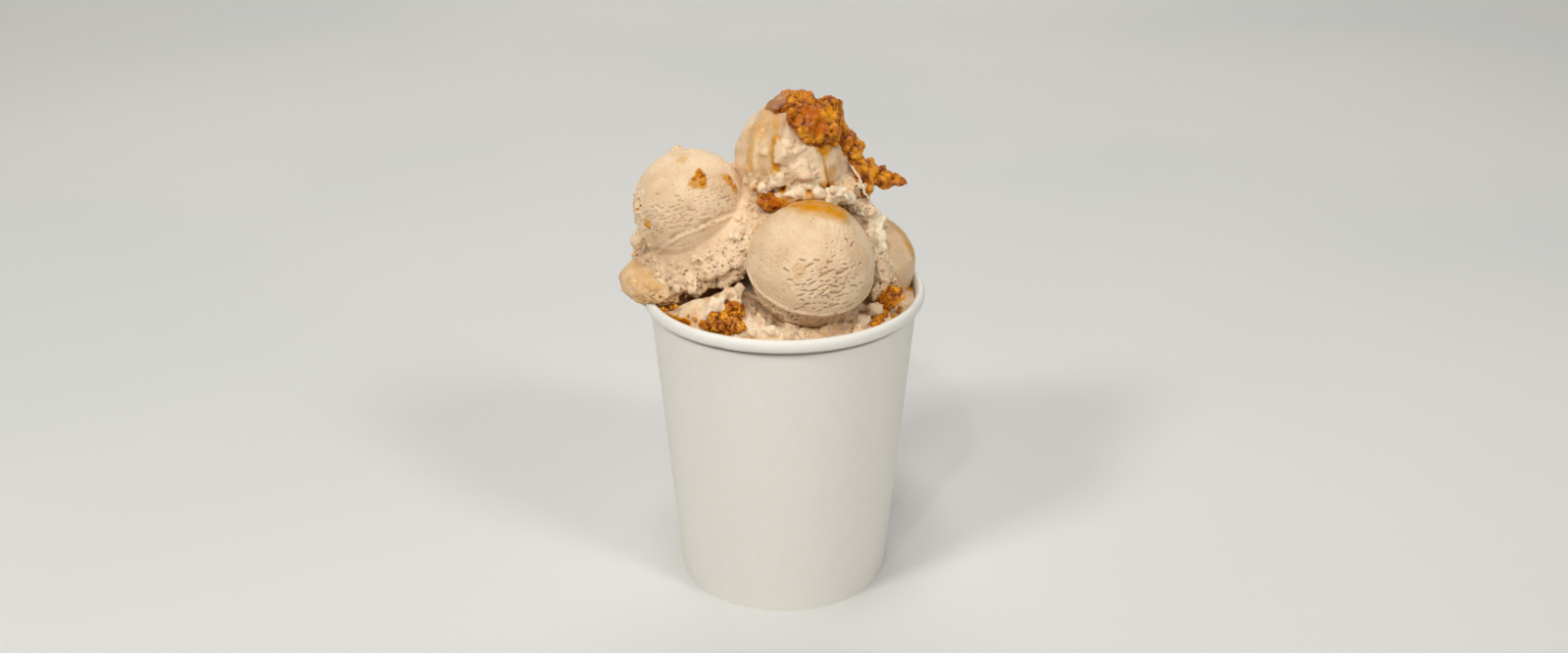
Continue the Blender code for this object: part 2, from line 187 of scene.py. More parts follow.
def stroke_distance(
    points: np.ndarray, starts: np.ndarray, ends: np.ndarray, taper: float = 0.0
) -> tuple[np.ndarray, np.ndarray]:
    """Finds how far each point is from the nearest of some straight strokes.

    Args:
        points: Places, one a row.
        starts: Where each stroke starts.
        ends: Where each stroke ends.
        taper: How much narrower a stroke is at its ends, from 0 to under 1.

    Returns:
        The distance, and the number of the nearest stroke.
    """
    best = np.full(len(points), np.inf)
    which = np.zeros(len(points), dtype=int)
    for number, (start, end) in enumerate(zip(starts, ends)):
        along = end - start
        share = np.clip((points - start) @ along / max(along @ along, 1e-9), 0.0, 1.0)
        away = np.linalg.norm(points - start - share[:, None] * along, axis=1)
        away /= 1.0 - taper * (2.0 * share - 1.0) ** 2
        nearer = away < best
        best[nearer] = away[nearer]
        which[nearer] = number
    return best, which


def dots_distance(
    points: np.ndarray, centres: np.ndarray
) -> tuple[np.ndarray, np.ndarray]:
    """Finds how far each point is from the nearest of many centres.

    Args:
        points: Places, one a row.
        centres: The centres, one a row.

    Returns:
        The distance, and the number of the nearest centre.
    """
    tree = kdtree.KDTree(len(centres))
    for number, centre in enumerate(centres.tolist()):
        tree.insert(centre, number)
    tree.balance()
    found = [tree.find(place)[1:] for place in points.tolist()]
    return np.array([f[1] for f in found]), np.array([f[0] for f in found])


def read_points(mesh: bpy.types.Mesh) -> np.ndarray:
    """Returns a mesh's points in millimetres from the cup's axis."""
    flat = np.empty(len(mesh.vertices) * 3, np.float32)
    mesh.vertices.foreach_get("co", flat)
    return flat.reshape(-1, 3).astype(float) / MM - AXIS


def write_points(mesh: bpy.types.Mesh, points: np.ndarray) -> None:
    """Puts points in millimetres from the cup's axis into a mesh."""
    mesh.vertices.foreach_set("co", ((points + AXIS) * MM).astype(np.float32).ravel())
    mesh.update()


def read_normals(mesh: bpy.types.Mesh) -> np.ndarray:
    """Returns the direction that each point of a mesh faces."""
    flat = np.empty(len(mesh.vertices) * 3, np.float32)
    mesh.vertex_normals.foreach_get("vector", flat)
    return flat.reshape(-1, 3).astype(float)


def write_masks(mesh: bpy.types.Mesh, masks: dict[str, np.ndarray]) -> None:
    """Stores numbers from 0 to 1 for each point, for a material to read.

    Args:
        mesh: The mesh that takes them.
        masks: The numbers by the attribute's name, one for each point.
    """
    for name, values in masks.items():
        layer = mesh.attributes.new(name, "FLOAT", "POINT")
        layer.data.foreach_set("value", np.clip(values, 0.0, 1.0).astype(np.float32))


def spin_into(bm: bmesh.types.BMesh, profile: list[tuple], steps: int) -> None:
    """Spins a profile about the cup's axis into a bmesh.

    Args:
        bm: The bmesh that takes it.
        profile: Radius and height of each point, from axis to axis.
        steps: How many segments the turn has.
    """
    verts = [bm.verts.new((x, 0.0, z)) for x, z in profile]
    edges = [bm.edges.new(pair) for pair in zip(verts, verts[1:])]
    bmesh.ops.spin(
        bm,
        geom=verts + edges,
        cent=(0.0, 0.0, 0.0),
        axis=(0.0, 0.0, 1.0),
        angle=2.0 * math.pi,
        steps=steps,
        use_merge=True,
    )
    bmesh.ops.remove_doubles(bm, verts=bm.verts, dist=0.001)
    bmesh.ops.recalc_face_normals(bm, faces=bm.faces)


def new_piece(name: str, bm: bmesh.types.BMesh) -> bpy.types.Object:
    """Makes an object of a bmesh that is in millimetres from the cup's axis.

    Args:
        name: The piece's name.
        bm: Its mesh, which is freed.

    Returns:
        The object, at the origin and smooth-shaded.
    """
    bmesh.ops.transform(
        bm, matrix=Matrix.Diagonal((MM, MM, MM, 1.0)), verts=bm.verts
    )
    bmesh.ops.translate(bm, verts=bm.verts, vec=Vector(AXIS * MM))
    mesh = bpy.data.meshes.new(name)
    bm.to_mesh(mesh)
    bm.free()
    mesh.shade_smooth()
    piece = bpy.data.objects.new(name, mesh)
    bpy.context.scene.collection.objects.link(piece)
    return piece


def wall_radius(z: np.ndarray | float) -> np.ndarray | float:
    """Radius of the cup's outer wall at a height."""
    share = z / (CUP_HEIGHT - BEAD_HEIGHT)
    return BASE_RADIUS + (WALL_TOP_RADIUS - BASE_RADIUS) * share


def inner_radius(z: np.ndarray | float) -> np.ndarray | float:
    """Radius of the cup's inner wall at a height, up to the middle of its bead."""
    floor = BASE_RECESS + BASE_DISC
    low = wall_radius(floor) - WALL
    high = RIM_RADIUS - BEAD_WIDTH
    return low + (high - low) * (z - floor) / (BEAD_Z - floor)


def keep_off_cup(points: np.ndarray, gap: float = 0.15) -> np.ndarray:
    """Moves points that are in the cup's wall or rolled rim out of it.

    Args:
        points: Places in millimetres, one a row.
        gap: The room left to the paper.

    Returns:
        The places after the move.
    """
    moved = points.copy()
    half_width, half_height = BEAD_WIDTH / 2 + gap, BEAD_HEIGHT / 2 + gap
    out = np.maximum(np.linalg.norm(moved[:, :2], axis=1), 1e-6)
    z = moved[:, 2]
    wall = inner_radius(np.minimum(z, BEAD_Z)) - gap
    z[(z < BEAD_Z) & (out > BEAD_X)] = BEAD_Z
    pressed = (z < BEAD_Z) & (out > wall)
    moved[pressed, :2] *= (wall[pressed] / out[pressed])[:, None]
    out = np.maximum(np.linalg.norm(moved[:, :2], axis=1), 1e-6)
    across = (out - BEAD_X) / half_width
    up = (z - BEAD_Z) / half_height
    size = np.hypot(across, up)
    inside = (size < 1.0) & (z >= BEAD_Z - 1e-6)
    grow = 1.0 / np.maximum(size[inside], 0.05)
    new_out = BEAD_X + across[inside] * grow * half_width
    moved[inside, :2] *= (new_out / out[inside])[:, None]
    moved[inside, 2] = BEAD_Z + up[inside] * grow * half_height
    return moved


def melted_piece(
    name: str, bm: bmesh.types.BMesh, voxel: float, soften: int
) -> bpy.types.Object:
    """Makes a piece whose shells are joined into one skin of even faces.

    Args:
        name: The piece's name.
        bm: Its shells in millimetres from the cup's axis, which are freed.
        voxel: The size of the new faces in millimetres.
        soften: How many times the skin is smoothed.

    Returns:
        The object, clear of the cup's wall and rim.
    """
    piece = new_piece(name, bm)
    write_points(piece.data, keep_off_cup(read_points(piece.data)))
    remesh = piece.modifiers.new("melt", "REMESH")
    remesh.mode = "VOXEL"
    remesh.voxel_size = voxel * 1.0 * MM
    if soften:
        smooth = piece.modifiers.new("soften", "SMOOTH")
        smooth.factor = 0.5
        smooth.iterations = soften
    graph = bpy.context.evaluated_depsgraph_get()
    mesh = bpy.data.meshes.new_from_object(piece.evaluated_get(graph))
    piece.modifiers.clear()
    old = piece.data
    piece.data = mesh
    bpy.data.meshes.remove(old)
    mesh.name = name
    mesh.shade_smooth()
    return piece


@dataclass(frozen=True)
class Crumb:
    """A small lump that is melted into a bigger piece.

    Attributes:
        at: Its middle.
        radius: Its mean radius.
        stretch: Its size in X, Y and Z over that radius.
        cream: How pale and smooth it is, from 0 to 1.
    """

    at: Place
    radius: float
    stretch: Place = (1.0, 1.0, 1.0)
    cream: float = 0.0

    def put_into(self, bm: bmesh.types.BMesh, seed: float, detail: int = 2) -> None:
        """Adds the lump to a bmesh.

        Args:
            bm: The bmesh that takes it.
            seed: Makes its shape differ from that of others.
            detail: How often its faces are divided.
        """
        place = Matrix.LocRotScale(
            Vector(self.at),
            Matrix.Rotation(seed * 1.7, 3, "Z"),
            Vector(self.stretch) * self.radius,
        )
        made = bmesh.ops.create_icosphere(bm, subdivisions=detail, radius=1.0)
        shift = Vector((seed, 2.0 * seed, -seed))
        for vert in made["verts"]:
            bump = noise.noise(vert.co * 1.2 + shift)
            bump += 0.55 * noise.noise(vert.co * 2.7 - shift)
            vert.co *= 1.0 + 0.5 * bump
        bmesh.ops.transform(bm, matrix=place, verts=made["verts"])


def melt_in(bm: bmesh.types.BMesh, crumbs: list[Crumb], seed: float) -> None:
    """Adds lumps to a bmesh, for a later melt to join.

    Args:
        bm: The bmesh that takes them.
        crumbs: The lumps.
        seed: Makes their shapes differ from those in other pieces.
    """
    apart = bmesh.new()
    for number, crumb in enumerate(crumbs):
        detail = 3 if crumb.radius > FINE_CRUMB else 2
        crumb.put_into(apart, seed + 0.73 * number, detail)
    mesh = bpy.data.meshes.new("lumps")
    apart.to_mesh(mesh)
    apart.free()
    bm.from_mesh(mesh)
    bpy.data.meshes.remove(mesh)


def cream_near(points: np.ndarray, crumbs: list[Crumb]) -> np.ndarray:
    """Finds how pale and smooth the lumps make each point.

    Args:
        points: Positions in millimetres, one a row.
        crumbs: The lumps.

    Returns:
        The share of pale cream at each point, from 0 to 1.
    """
    cream = np.zeros(len(points))
    pale = [crumb for crumb in crumbs if crumb.cream > 0.0]
    small = [crumb for crumb in pale if crumb.radius < FAR_CRUMB]
    if small:
        away, which = dots_distance(points, np.array([crumb.at for crumb in small]))
        radius = np.array([crumb.radius for crumb in small])[which]
        strength = np.array([crumb.cream for crumb in small])[which]
        cream = strength * (1.0 - smooth_step(0.9, 1.5, away / radius))
    for crumb in pale:
        if crumb.radius >= FAR_CRUMB:
            half_size = crumb.radius * np.array(crumb.stretch)
            away = np.linalg.norm((points - np.array(crumb.at)) / half_size, axis=1)
            cream = np.maximum(cream, crumb.cream * (1.0 - smooth_step(1.0, 1.4, away)))
    return cream


@dataclass(frozen=True)
class Rubble:
    """A patch of small random lumps on a ball.

    Attributes:
        toward: The direction of its middle from the ball's middle.
        spread: Half its width in millimetres.
        count: How many lumps it has.
        size: The mean radius of a lump in millimetres.
        cream: How pale and smooth they are, from 0 to 1.
    """

    toward: Place
    spread: float
    count: int
    size: float
    cream: float = 0.1


@dataclass(frozen=True)
class Strand:
    """A thin string of melted cream through some places."""

    through: tuple[Place, ...]
    radius: float

    def beads(self) -> list[Crumb]:
        """Returns the lumps that the string is melted from."""
        path = np.array(self.through)
        found = []
        for start, end in zip(path, path[1:]):
            steps = max(2, int(np.linalg.norm(end - start) / (0.7 * self.radius)))
            for step in range(steps):
                place = start + (end - start) * step / steps
                found.append(Crumb(tuple(place), self.radius, cream=1.0))
        return found


@dataclass(frozen=True)
class HoneyRun:
    """Thick honey on a ball, from one direction from its middle to another.

    Attributes:
        start: The direction in which it starts.
        end: The direction in which it ends.
        half_width: Half its width in millimetres.
        depth: How far it stands out in millimetres.
        strength: How dark it is.
        pooled: Whether it lies in an even pool, not in streaks.
    """

    start: Place
    end: Place
    half_width: float
    depth: float
    strength: float = 1.0
    pooled: bool = False


@dataclass(frozen=True)
class Swelling:
    """A rounded lump of softer cream in a ball's skin."""

    toward: Place
    radius: float
    height: float


@dataclass(frozen=True)
class Crease:
    """A groove in a ball's skin.

    Attributes:
        through: The directions from the ball's middle that it runs through.
        half_width: Half its width in millimetres.
        depth: How deep it is in millimetres.
        ridge: How far the skin beside it stands out in millimetres.
        wavy: How much it wavers.
    """

    through: tuple[Place, ...]
    half_width: float
    depth: float
    ridge: float = 0.0
    wavy: float = 0.0


@dataclass(frozen=True)
class Ring:
    """A ridge or groove that the scoop's edge leaves, round the dome's middle.

    Attributes:
        polar: Degrees from the dome's middle.
        toward: The direction in which it is strongest.
        spread: Degrees from there at which it has faded.
        half_width: Half its width in millimetres.
        height: How far it stands out, or less than 0 for a groove.
    """

    polar: float
    toward: Place
    spread: float
    half_width: float
    height: float


@dataclass(frozen=True)
class Tears:
    """Short torn pockets that lie side by side where a scoop dragged the surface.

    Attributes:
        toward: The middle of the torn patch.
        along: The way the pockets run.
        reach: Half the patch's length and height in millimetres.
        count: How many pockets are tried; those too near to others are left out.
        length: The shortest and longest pocket in millimetres.
        depth: How deep they are in millimetres.
        seed: Makes the patch differ from others.
        painted_shade: How strongly painted shade darkens the pockets, from 0 to 1.
        apart: How far apart their rows are in millimetres.
    """

    toward: Place
    along: Place
    reach: tuple[float, float]
    count: int
    length: tuple[float, float]
    depth: float
    seed: int
    painted_shade: float = 0.8
    apart: float = 1.3

    def strokes(self) -> tuple[np.ndarray, np.ndarray, np.ndarray]:
        """Returns the two ends of each pocket on the patch, and its half width."""
        rng = np.random.default_rng(self.seed)
        middles, ends, halves = [], [], []
        for _ in range(self.count):
            u, v = rng.normal(0.0, 0.42, 2) * np.array(self.reach)
            long = self.length[0] + (self.length[1] - self.length[0]) * rng.beta(1.3, 3.0)
            if any(
                math.hypot((u - a) / (0.6 * long + 0.7), (v - b) / self.apart) < 1.0
                for a, b in middles
            ):
                continue
            middles.append((u, v))
            tilt = rng.normal(0.0, 0.22)
            half = 0.5 * long * np.array((math.cos(tilt), math.sin(tilt)))
            ends.append(((u - half[0], v - half[1]), (u + half[0], v + half[1])))
            halves.append(0.2 + 0.12 * min(long, 3.0) * rng.uniform(0.5, 1.3))
        ends = np.array(ends)
        return ends[:, 0], ends[:, 1], np.array(halves)


@dataclass(frozen=True)
class Stain:
    """A patch that honey or toffee colours without standing out."""

    toward: Place
    radius: float
    strength: float


@dataclass(frozen=True)
class Ball:
    """The shape of one scooped ball of gelato.

    Attributes:
        name: The CAD node that it stands for.
        centre: The middle of the ball.
        radius: Its radius.
        dome: The way its smooth dome faces.
        lip: Degrees from there to the end of the dome.
        collar: Degrees from there to the edge of the torn collar.
        flare: How far that edge stands out.
        widest: The side to which the collar is widest.
        foot: How far under the middle the ball ends.
        squash: Its size in X, Y and Z over a round ball.
        seed: Makes its lumps differ from those of others.
        runs: The honey on it.
        swellings: The cream lumps in its skin.
    """

    name: str
    centre: Place
    radius: float
    dome: Place
    lip: float
    collar: float
    flare: float
    foot: float
    seed: float
    widest: Place = tuple(FACING)
    squash: Place = (1.0, 1.0, 1.0)
    runs: tuple[HoneyRun, ...] = ()
    swellings: tuple[Swelling, ...] = ()

    def polar(self, toward: np.ndarray) -> np.ndarray:
        """Returns the degrees between each direction and the dome's middle."""
        return np.degrees(np.arccos(np.clip(toward @ unit(self.dome), -1.0, 1.0)))

    def apart(self, toward: np.ndarray, spot: Place) -> np.ndarray:
        """Returns how far each direction is from a spot on the ball, in millimetres."""
        return np.linalg.norm(toward - unit(spot), axis=1) * self.radius

    def place(self, toward: np.ndarray, sunk: float = 0.0) -> Place:
        """Returns the place on the surface, or sunk into it, in one direction."""
        reach = self.reach(toward[None])[0] - sunk
        return tuple(np.array(self.centre) + toward * reach * np.array(self.squash))

    def collar_share(self, toward: np.ndarray) -> np.ndarray:
        """Returns how much each direction belongs to the torn collar, from 0 to 1."""
        polar = self.polar(toward)
        share = smooth_step(self.lip, self.collar, polar)
        share *= 1.0 - smooth_step(self.collar, self.collar + 14.0, polar)
        dome = unit(self.dome)
        outward = unit(toward - (toward @ dome)[:, None] * dome)
        wide = smooth_step(-0.9, -0.1, outward @ np.array(self.widest))
        return share * (0.35 + 0.65 * wide)

    def honey_share(self, toward: np.ndarray, ragged: float = 0.0) -> np.ndarray:
        """Finds how thickly honey covers each direction.

        Args:
            toward: Directions from the ball's middle, one a row.
            ragged: How uneven the edges of the honey are, in millimetres.

        Returns:
            The depth in millimetres, as a list for each run, one run a row.
        """
        edge = ragged * lumps(toward * self.radius, 3.0, 5.0) if ragged else 0.0
        rows = [np.zeros(len(toward))]
        for run in self.runs:
            start, end = unit(run.start), unit(run.end)
            along = end - start
            share = np.clip((toward - start) @ along / (along @ along), 0.0, 1.0)
            nearest = unit(start + share[:, None] * along)
            away = np.linalg.norm(toward - nearest, axis=1) * self.radius + edge
            inner = (0.5 - 0.4 * min(1.0, ragged)) * run.half_width
            cover = 1.0 - smooth_step(inner, (1.0 + 0.1 * ragged) * run.half_width, away)
            if ragged and not run.pooled:
                cover *= cover * (0.65 + 0.35 * share)
            rows.append(run.depth * cover)
        return np.array(rows)

    def relief(self, toward: np.ndarray) -> np.ndarray:
        """Returns how far honey and cream lumps stand out in each direction."""
        height = self.honey_share(toward).max(axis=0)
        for swelling in self.swellings:
            away = self.apart(toward, swelling.toward) / swelling.radius
            cover = np.maximum(0.0, 1.0 - away**2)
            height = np.maximum(height, swelling.height * np.sqrt(cover))
        return height

    def reach(self, toward: np.ndarray) -> np.ndarray:
        """Returns the distance from the ball's middle to its surface."""
        collar = self.collar_share(toward)
        point = toward * self.radius
        torn = lumps(point, 6.0, self.seed + 7.0)
        reach = self.radius + self.flare * collar * (1.0 + 0.2 * torn)
        reach += 0.35 * lumps(point, 9.0, self.seed)
        reach += 1.3 * collar * torn * min(1.0, max(0.0, self.flare / 1.3))
        reach += self.relief(toward)
        below = np.maximum(-(toward @ unit(self.dome)), 0.05)
        return np.where(below > 0.05, np.minimum(reach, self.foot / below), reach)


class Shading:
    """The nodes of one material, whose patterns follow the object's own coordinates."""

    def __init__(self, name: str) -> None:
        """Starts a material with this name."""
        self.material = bpy.data.materials.new(name)
        self.material.use_nodes = True
        self.tree = self.material.node_tree
        self.at = self.add("TexCoord", {}, "Object")

    def add(self, kind: str, settings: dict, output: int | str = 0) -> Socket:
        """Adds a node.

        Args:
            kind: Blender's name for the kind of node, without its prefix.
            settings: What each property or input takes.
            output: The name or number of the output that is wanted.

        Returns:
            That output's socket.
        """
        return add_node(self.tree, "ShaderNode" + kind, settings).outputs[output]

    def clouds(self, scale: float, detail: float, roughness: float = 0.5) -> Socket:
        """Adds noise, with a scale that counts its bumps in a metre."""
        settings = {"Scale": scale, "Detail": detail, "Roughness": roughness}
        return self.add("TexNoise", {**settings, "Vector": self.at})

    def dots(self, scale: float) -> Socket:
        """Adds the distance to scattered centres, as many a metre as the scale says."""
        return self.add("TexVoronoi", {"Scale": scale, "Vector": self.at}, "Distance")

    def mask(self, name: str) -> Socket:
        """Adds the number that a mesh stores for each of its points."""
        return self.add("Attribute", {"attribute_name": name}, 2)

    def ramp(self, share: Socket, start: float, end: float) -> Socket:
        """Turns a share into a value from start to end."""
        return self.add("MapRange", {"To Min": start, "To Max": end, "Value": share})

    def share_of(self, value: Socket, low: float, high: float) -> Socket:
        """Turns a value into a share.

        Args:
            value: The socket that gives the value.
            low: The value that gives 0.
            high: The value that gives 1, which may be the lower one.

        Returns:
            The socket that gives the share.
        """
        settings = {
            "interpolation_type": "SMOOTHSTEP",
            "From Min": min(low, high),
            "From Max": max(low, high),
            "To Min": float(low > high),
            "To Max": float(low < high),
            "Value": value,
        }
        return self.add("MapRange", settings)

    def mixed(self, share: Socket, first: Socket | str, second: str) -> Socket:
        """Mixes two colours.

        Args:
            share: The socket that gives the share of the second colour.
            first: A colour, or the socket that gives it.
            second: A colour.

        Returns:
            The socket that gives the mixed colour.
        """
        start = linear(first) if isinstance(first, str) else first
        settings = {"data_type": "RGBA", 0: share, 6: start, 7: linear(second)}
        return self.add("Mix", settings, 2)

    def bump(self, height: Socket, strength: Socket | float, depth: float) -> Socket:
        """Turns a height into a fine relief with a depth in millimetres."""
        settings = {"Distance": depth * MM, "Strength": strength, "Height": height}
        return self.add("Bump", settings)

    def finished(self, settings: dict) -> bpy.types.Material:
        """Gives the shader's own sockets their values and links.

        Args:
            settings: The value of each input, or the socket that feeds it.

        Returns:
            The finished material.
        """
        shader = self.tree.nodes["Principled BSDF"]
        for name, value in settings.items():
            if isinstance(value, Socket):
                self.tree.links.new(value, shader.inputs[name])
            else:
                shader.inputs[name].default_value = value
        return self.material


@dataclass(frozen=True)
class GelatoFinish:
    """Churned gelato: frozen cream that a steel scoop has pressed and torn.

    The eye sees a soft, moist, pale tan with light that spreads under the skin, with fine
    amber specks, and clear where honey covers it. Painted shade makes its pits, torn
    pockets and pores darker and warmer.
    """

    name: str = "churned_gelato"
    cream: str = "#EFD3AF"
    tan: str = "#E3C29B"
    pale: str = "#FAE8CA"
    painted_pit_shade: str = "#80562E"
    speck: str = "#CF8A2C"
    glaze: str = "#D6AC76"
    amber: str = "#D08A00"
    dark_amber: str = "#8E4300"

    def build(self) -> bpy.types.Material:
        """Returns the material."""
        make = Shading(self.name)
        cream, honey = make.mask("cream_mask"), make.mask("honey_mask")
        # Churning leaves soft clouds of colour about 11 mm across.
        cloud = make.share_of(make.clouds(90.0, 3.0), 0.36, 0.66)
        skin = make.mixed(cloud, self.cream, self.tan)
        skin = make.mixed(cream, skin, self.pale)
        # Toffee dust: specks about 0.8 mm wide, drawn a little coarse so that they show.
        dust = make.share_of(make.dots(420.0), 0.34, 0.12)
        patch = make.share_of(make.clouds(260.0, 2.0), 0.56, 0.68)
        dusty = make.add("Math", {"operation": "MULTIPLY", 0: dust, 1: patch})
        dusty = make.add("Math", {"operation": "MULTIPLY", 0: dusty, 1: 0.3})
        skin = make.mixed(dusty, skin, self.speck)
        # Painted shade: pits, torn pockets and pores are darkened in colour.
        skin = make.mixed(make.mask("painted_pit_shade_mask"), skin, self.painted_pit_shade)
        skin = make.mixed(make.mask("stain_mask"), skin, self.speck)
        # Honey goes from a clear glaze through amber to brown as it gets thicker.
        thin = make.share_of(honey, 0.0, 0.3)
        skin = make.mixed(thin, skin, self.glaze)
        skin = make.mixed(make.share_of(honey, 0.25, 0.65), skin, self.amber)
        skin = make.mixed(make.share_of(honey, 0.65, 1.0), skin, self.dark_amber)
        # Moist cream is dull, cream lumps shine a little, and honey is glossy.
        dull = make.ramp(cream, 0.52, 0.34)
        rough = make.add("Mix", {"data_type": "FLOAT", 0: thin, 2: dull, 3: 0.1})
        # Ice crystals and pores of 0.3 to 1 mm, finer than the mesh.
        pores = make.share_of(make.dots(900.0), 0.0, 0.35)
        grain = make.clouds(800.0, 4.0, 0.65)
        height = make.add("Math", {"operation": "MULTIPLY_ADD", 0: pores, 1: 0.45, 2: grain})
        return make.finished(
            {
                "Base Color": skin,
                "Roughness": rough,
                "IOR": 1.42,
                "Specular IOR Level": 0.22,
                "Subsurface Weight": 0.35,
                "Subsurface Radius": (1.0, 0.55, 0.28),
                "Subsurface Scale": 0.9 * MM,
                "Normal": make.bump(height, make.ramp(thin, 0.7, 0.04), 0.8),
            }
        )


@dataclass(frozen=True)
class ToffeeFinish:
    """Honeycomb toffee: boiled sugar and honey, foamed with soda and broken.

    The eye sees glassy amber with small highlights and uneven orange clouds. Painted
    shade makes its bubbles, hollows and the seams between its nuggets darker and redder,
    and painted light makes the crests of its nuggets more orange.
    """

    name: str = "honeycomb_toffee_glassy"
    amber: str = "#A85600"
    orange_tone_and_light: str = "#E69A1C"
    painted_half_shade: str = "#6E2F00"
    painted_shade: str = "#3C1600"
    milky: str = "#B0805C"
    glazed: str = "#BC6200"

    def build(self) -> bpy.types.Material:
        """Returns the material."""
        make = Shading(self.name)
        crest, pores = make.mask("crest_light_and_tone_mask"), make.mask("pore_shade_and_tone_mask")
        glaze, milky = make.mask("glaze_mask"), make.mask("milky_mask")
        # Boiled sugar browns unevenly, in clouds of about 5 mm; painted light adds orange on
        # the crests of the nuggets.
        cloud = make.share_of(make.clouds(210.0, 4.0), 0.4, 0.62)
        tone_and_painted_light = make.add(
            "Math",
            {"operation": "MULTIPLY_ADD", "use_clamp": True, 0: cloud, 1: 0.5, 2: crest},
        )
        skin = make.mixed(tone_and_painted_light, self.amber, self.orange_tone_and_light)
        skin = make.mixed(glaze, skin, self.glazed)
        # Painted shade: bubbles, hollows and seams go brown, the deepest near black.
        skin = make.mixed(make.share_of(pores, 0.1, 0.6), skin, self.painted_half_shade)
        skin = make.mixed(make.share_of(pores, 0.55, 1.0), skin, self.painted_shade)
        skin = make.mixed(milky, skin, self.milky)
        # Bubbles of about 0.5 mm, the smallest that show.
        bubbles, fine = make.dots(1500.0), make.clouds(900.0, 3.0)
        height = make.add("Math", {"operation": "ADD", 0: bubbles, 1: fine})
        return make.finished(
            {
                "Base Color": skin,
                "Roughness": make.ramp(glaze, 0.14, 0.04),
                "IOR": 1.5,
                "Specular IOR Level": 0.3,
                "Subsurface Weight": 0.15,
                "Subsurface Radius": (1.0, 0.35, 0.08),
                "Subsurface Scale": 1.5 * MM,
                "Normal": make.bump(height, make.ramp(glaze, 0.5, 0.3), 0.3),
            }
        )


@dataclass(frozen=True)
class PaperFinish:
    """White cup board: bleached paper with a thin, smooth food-safe lining.

    The eye sees an even warm white with a faint satin sheen and fibre clouds that are
    only just there.
    """

    name: str = "bleached_cup_board"
    white: str = "#ECE8E0"
    shade: str = "#EAE6DC"
    painted_roll_shadow: str = "#9F968A"

    def build(self) -> bpy.types.Material:
        """Returns the material."""
        make = Shading(self.name)
        # Fibre clouds: 3 to 4 mm across, as in cheap board held to the light.
        cloud = make.share_of(make.clouds(280.0, 4.0), 0.3, 0.7)
        white = make.mixed(cloud, self.white, self.shade)
        # Painted shadow: under the roll, where the board is pinched, its colour is darkened.
        white = make.mixed(make.mask("painted_roll_shadow_mask"), white, self.painted_roll_shadow)
        # Fibres are 0.02 mm wide; these are 0.6 mm, so that the tooth shows at all.
        tooth = make.bump(make.clouds(1600.0, 3.0), 0.05, 0.1)
        return make.finished(
            {"Base Color": white, "Roughness": 0.48, "IOR": 1.45, "Normal": tooth}
        )


@dataclass(frozen=True)
class SweepFinish:
    """Pale grey seamless paper, which shows as an even, dull ground."""

    name: str = "seamless_background_paper"
    tone: str = "#D9D8D4"
    far_tone: str = "#D3D3D0"

    def build(self) -> bpy.types.Material:
        """Returns the material."""
        make = Shading(self.name)
        cloud = make.share_of(make.clouds(2.0, 2.0), 0.3, 0.7)
        tone = make.mixed(cloud, self.tone, self.far_tone)
        return make.finished({"Base Color": tone, "Roughness": 0.9})


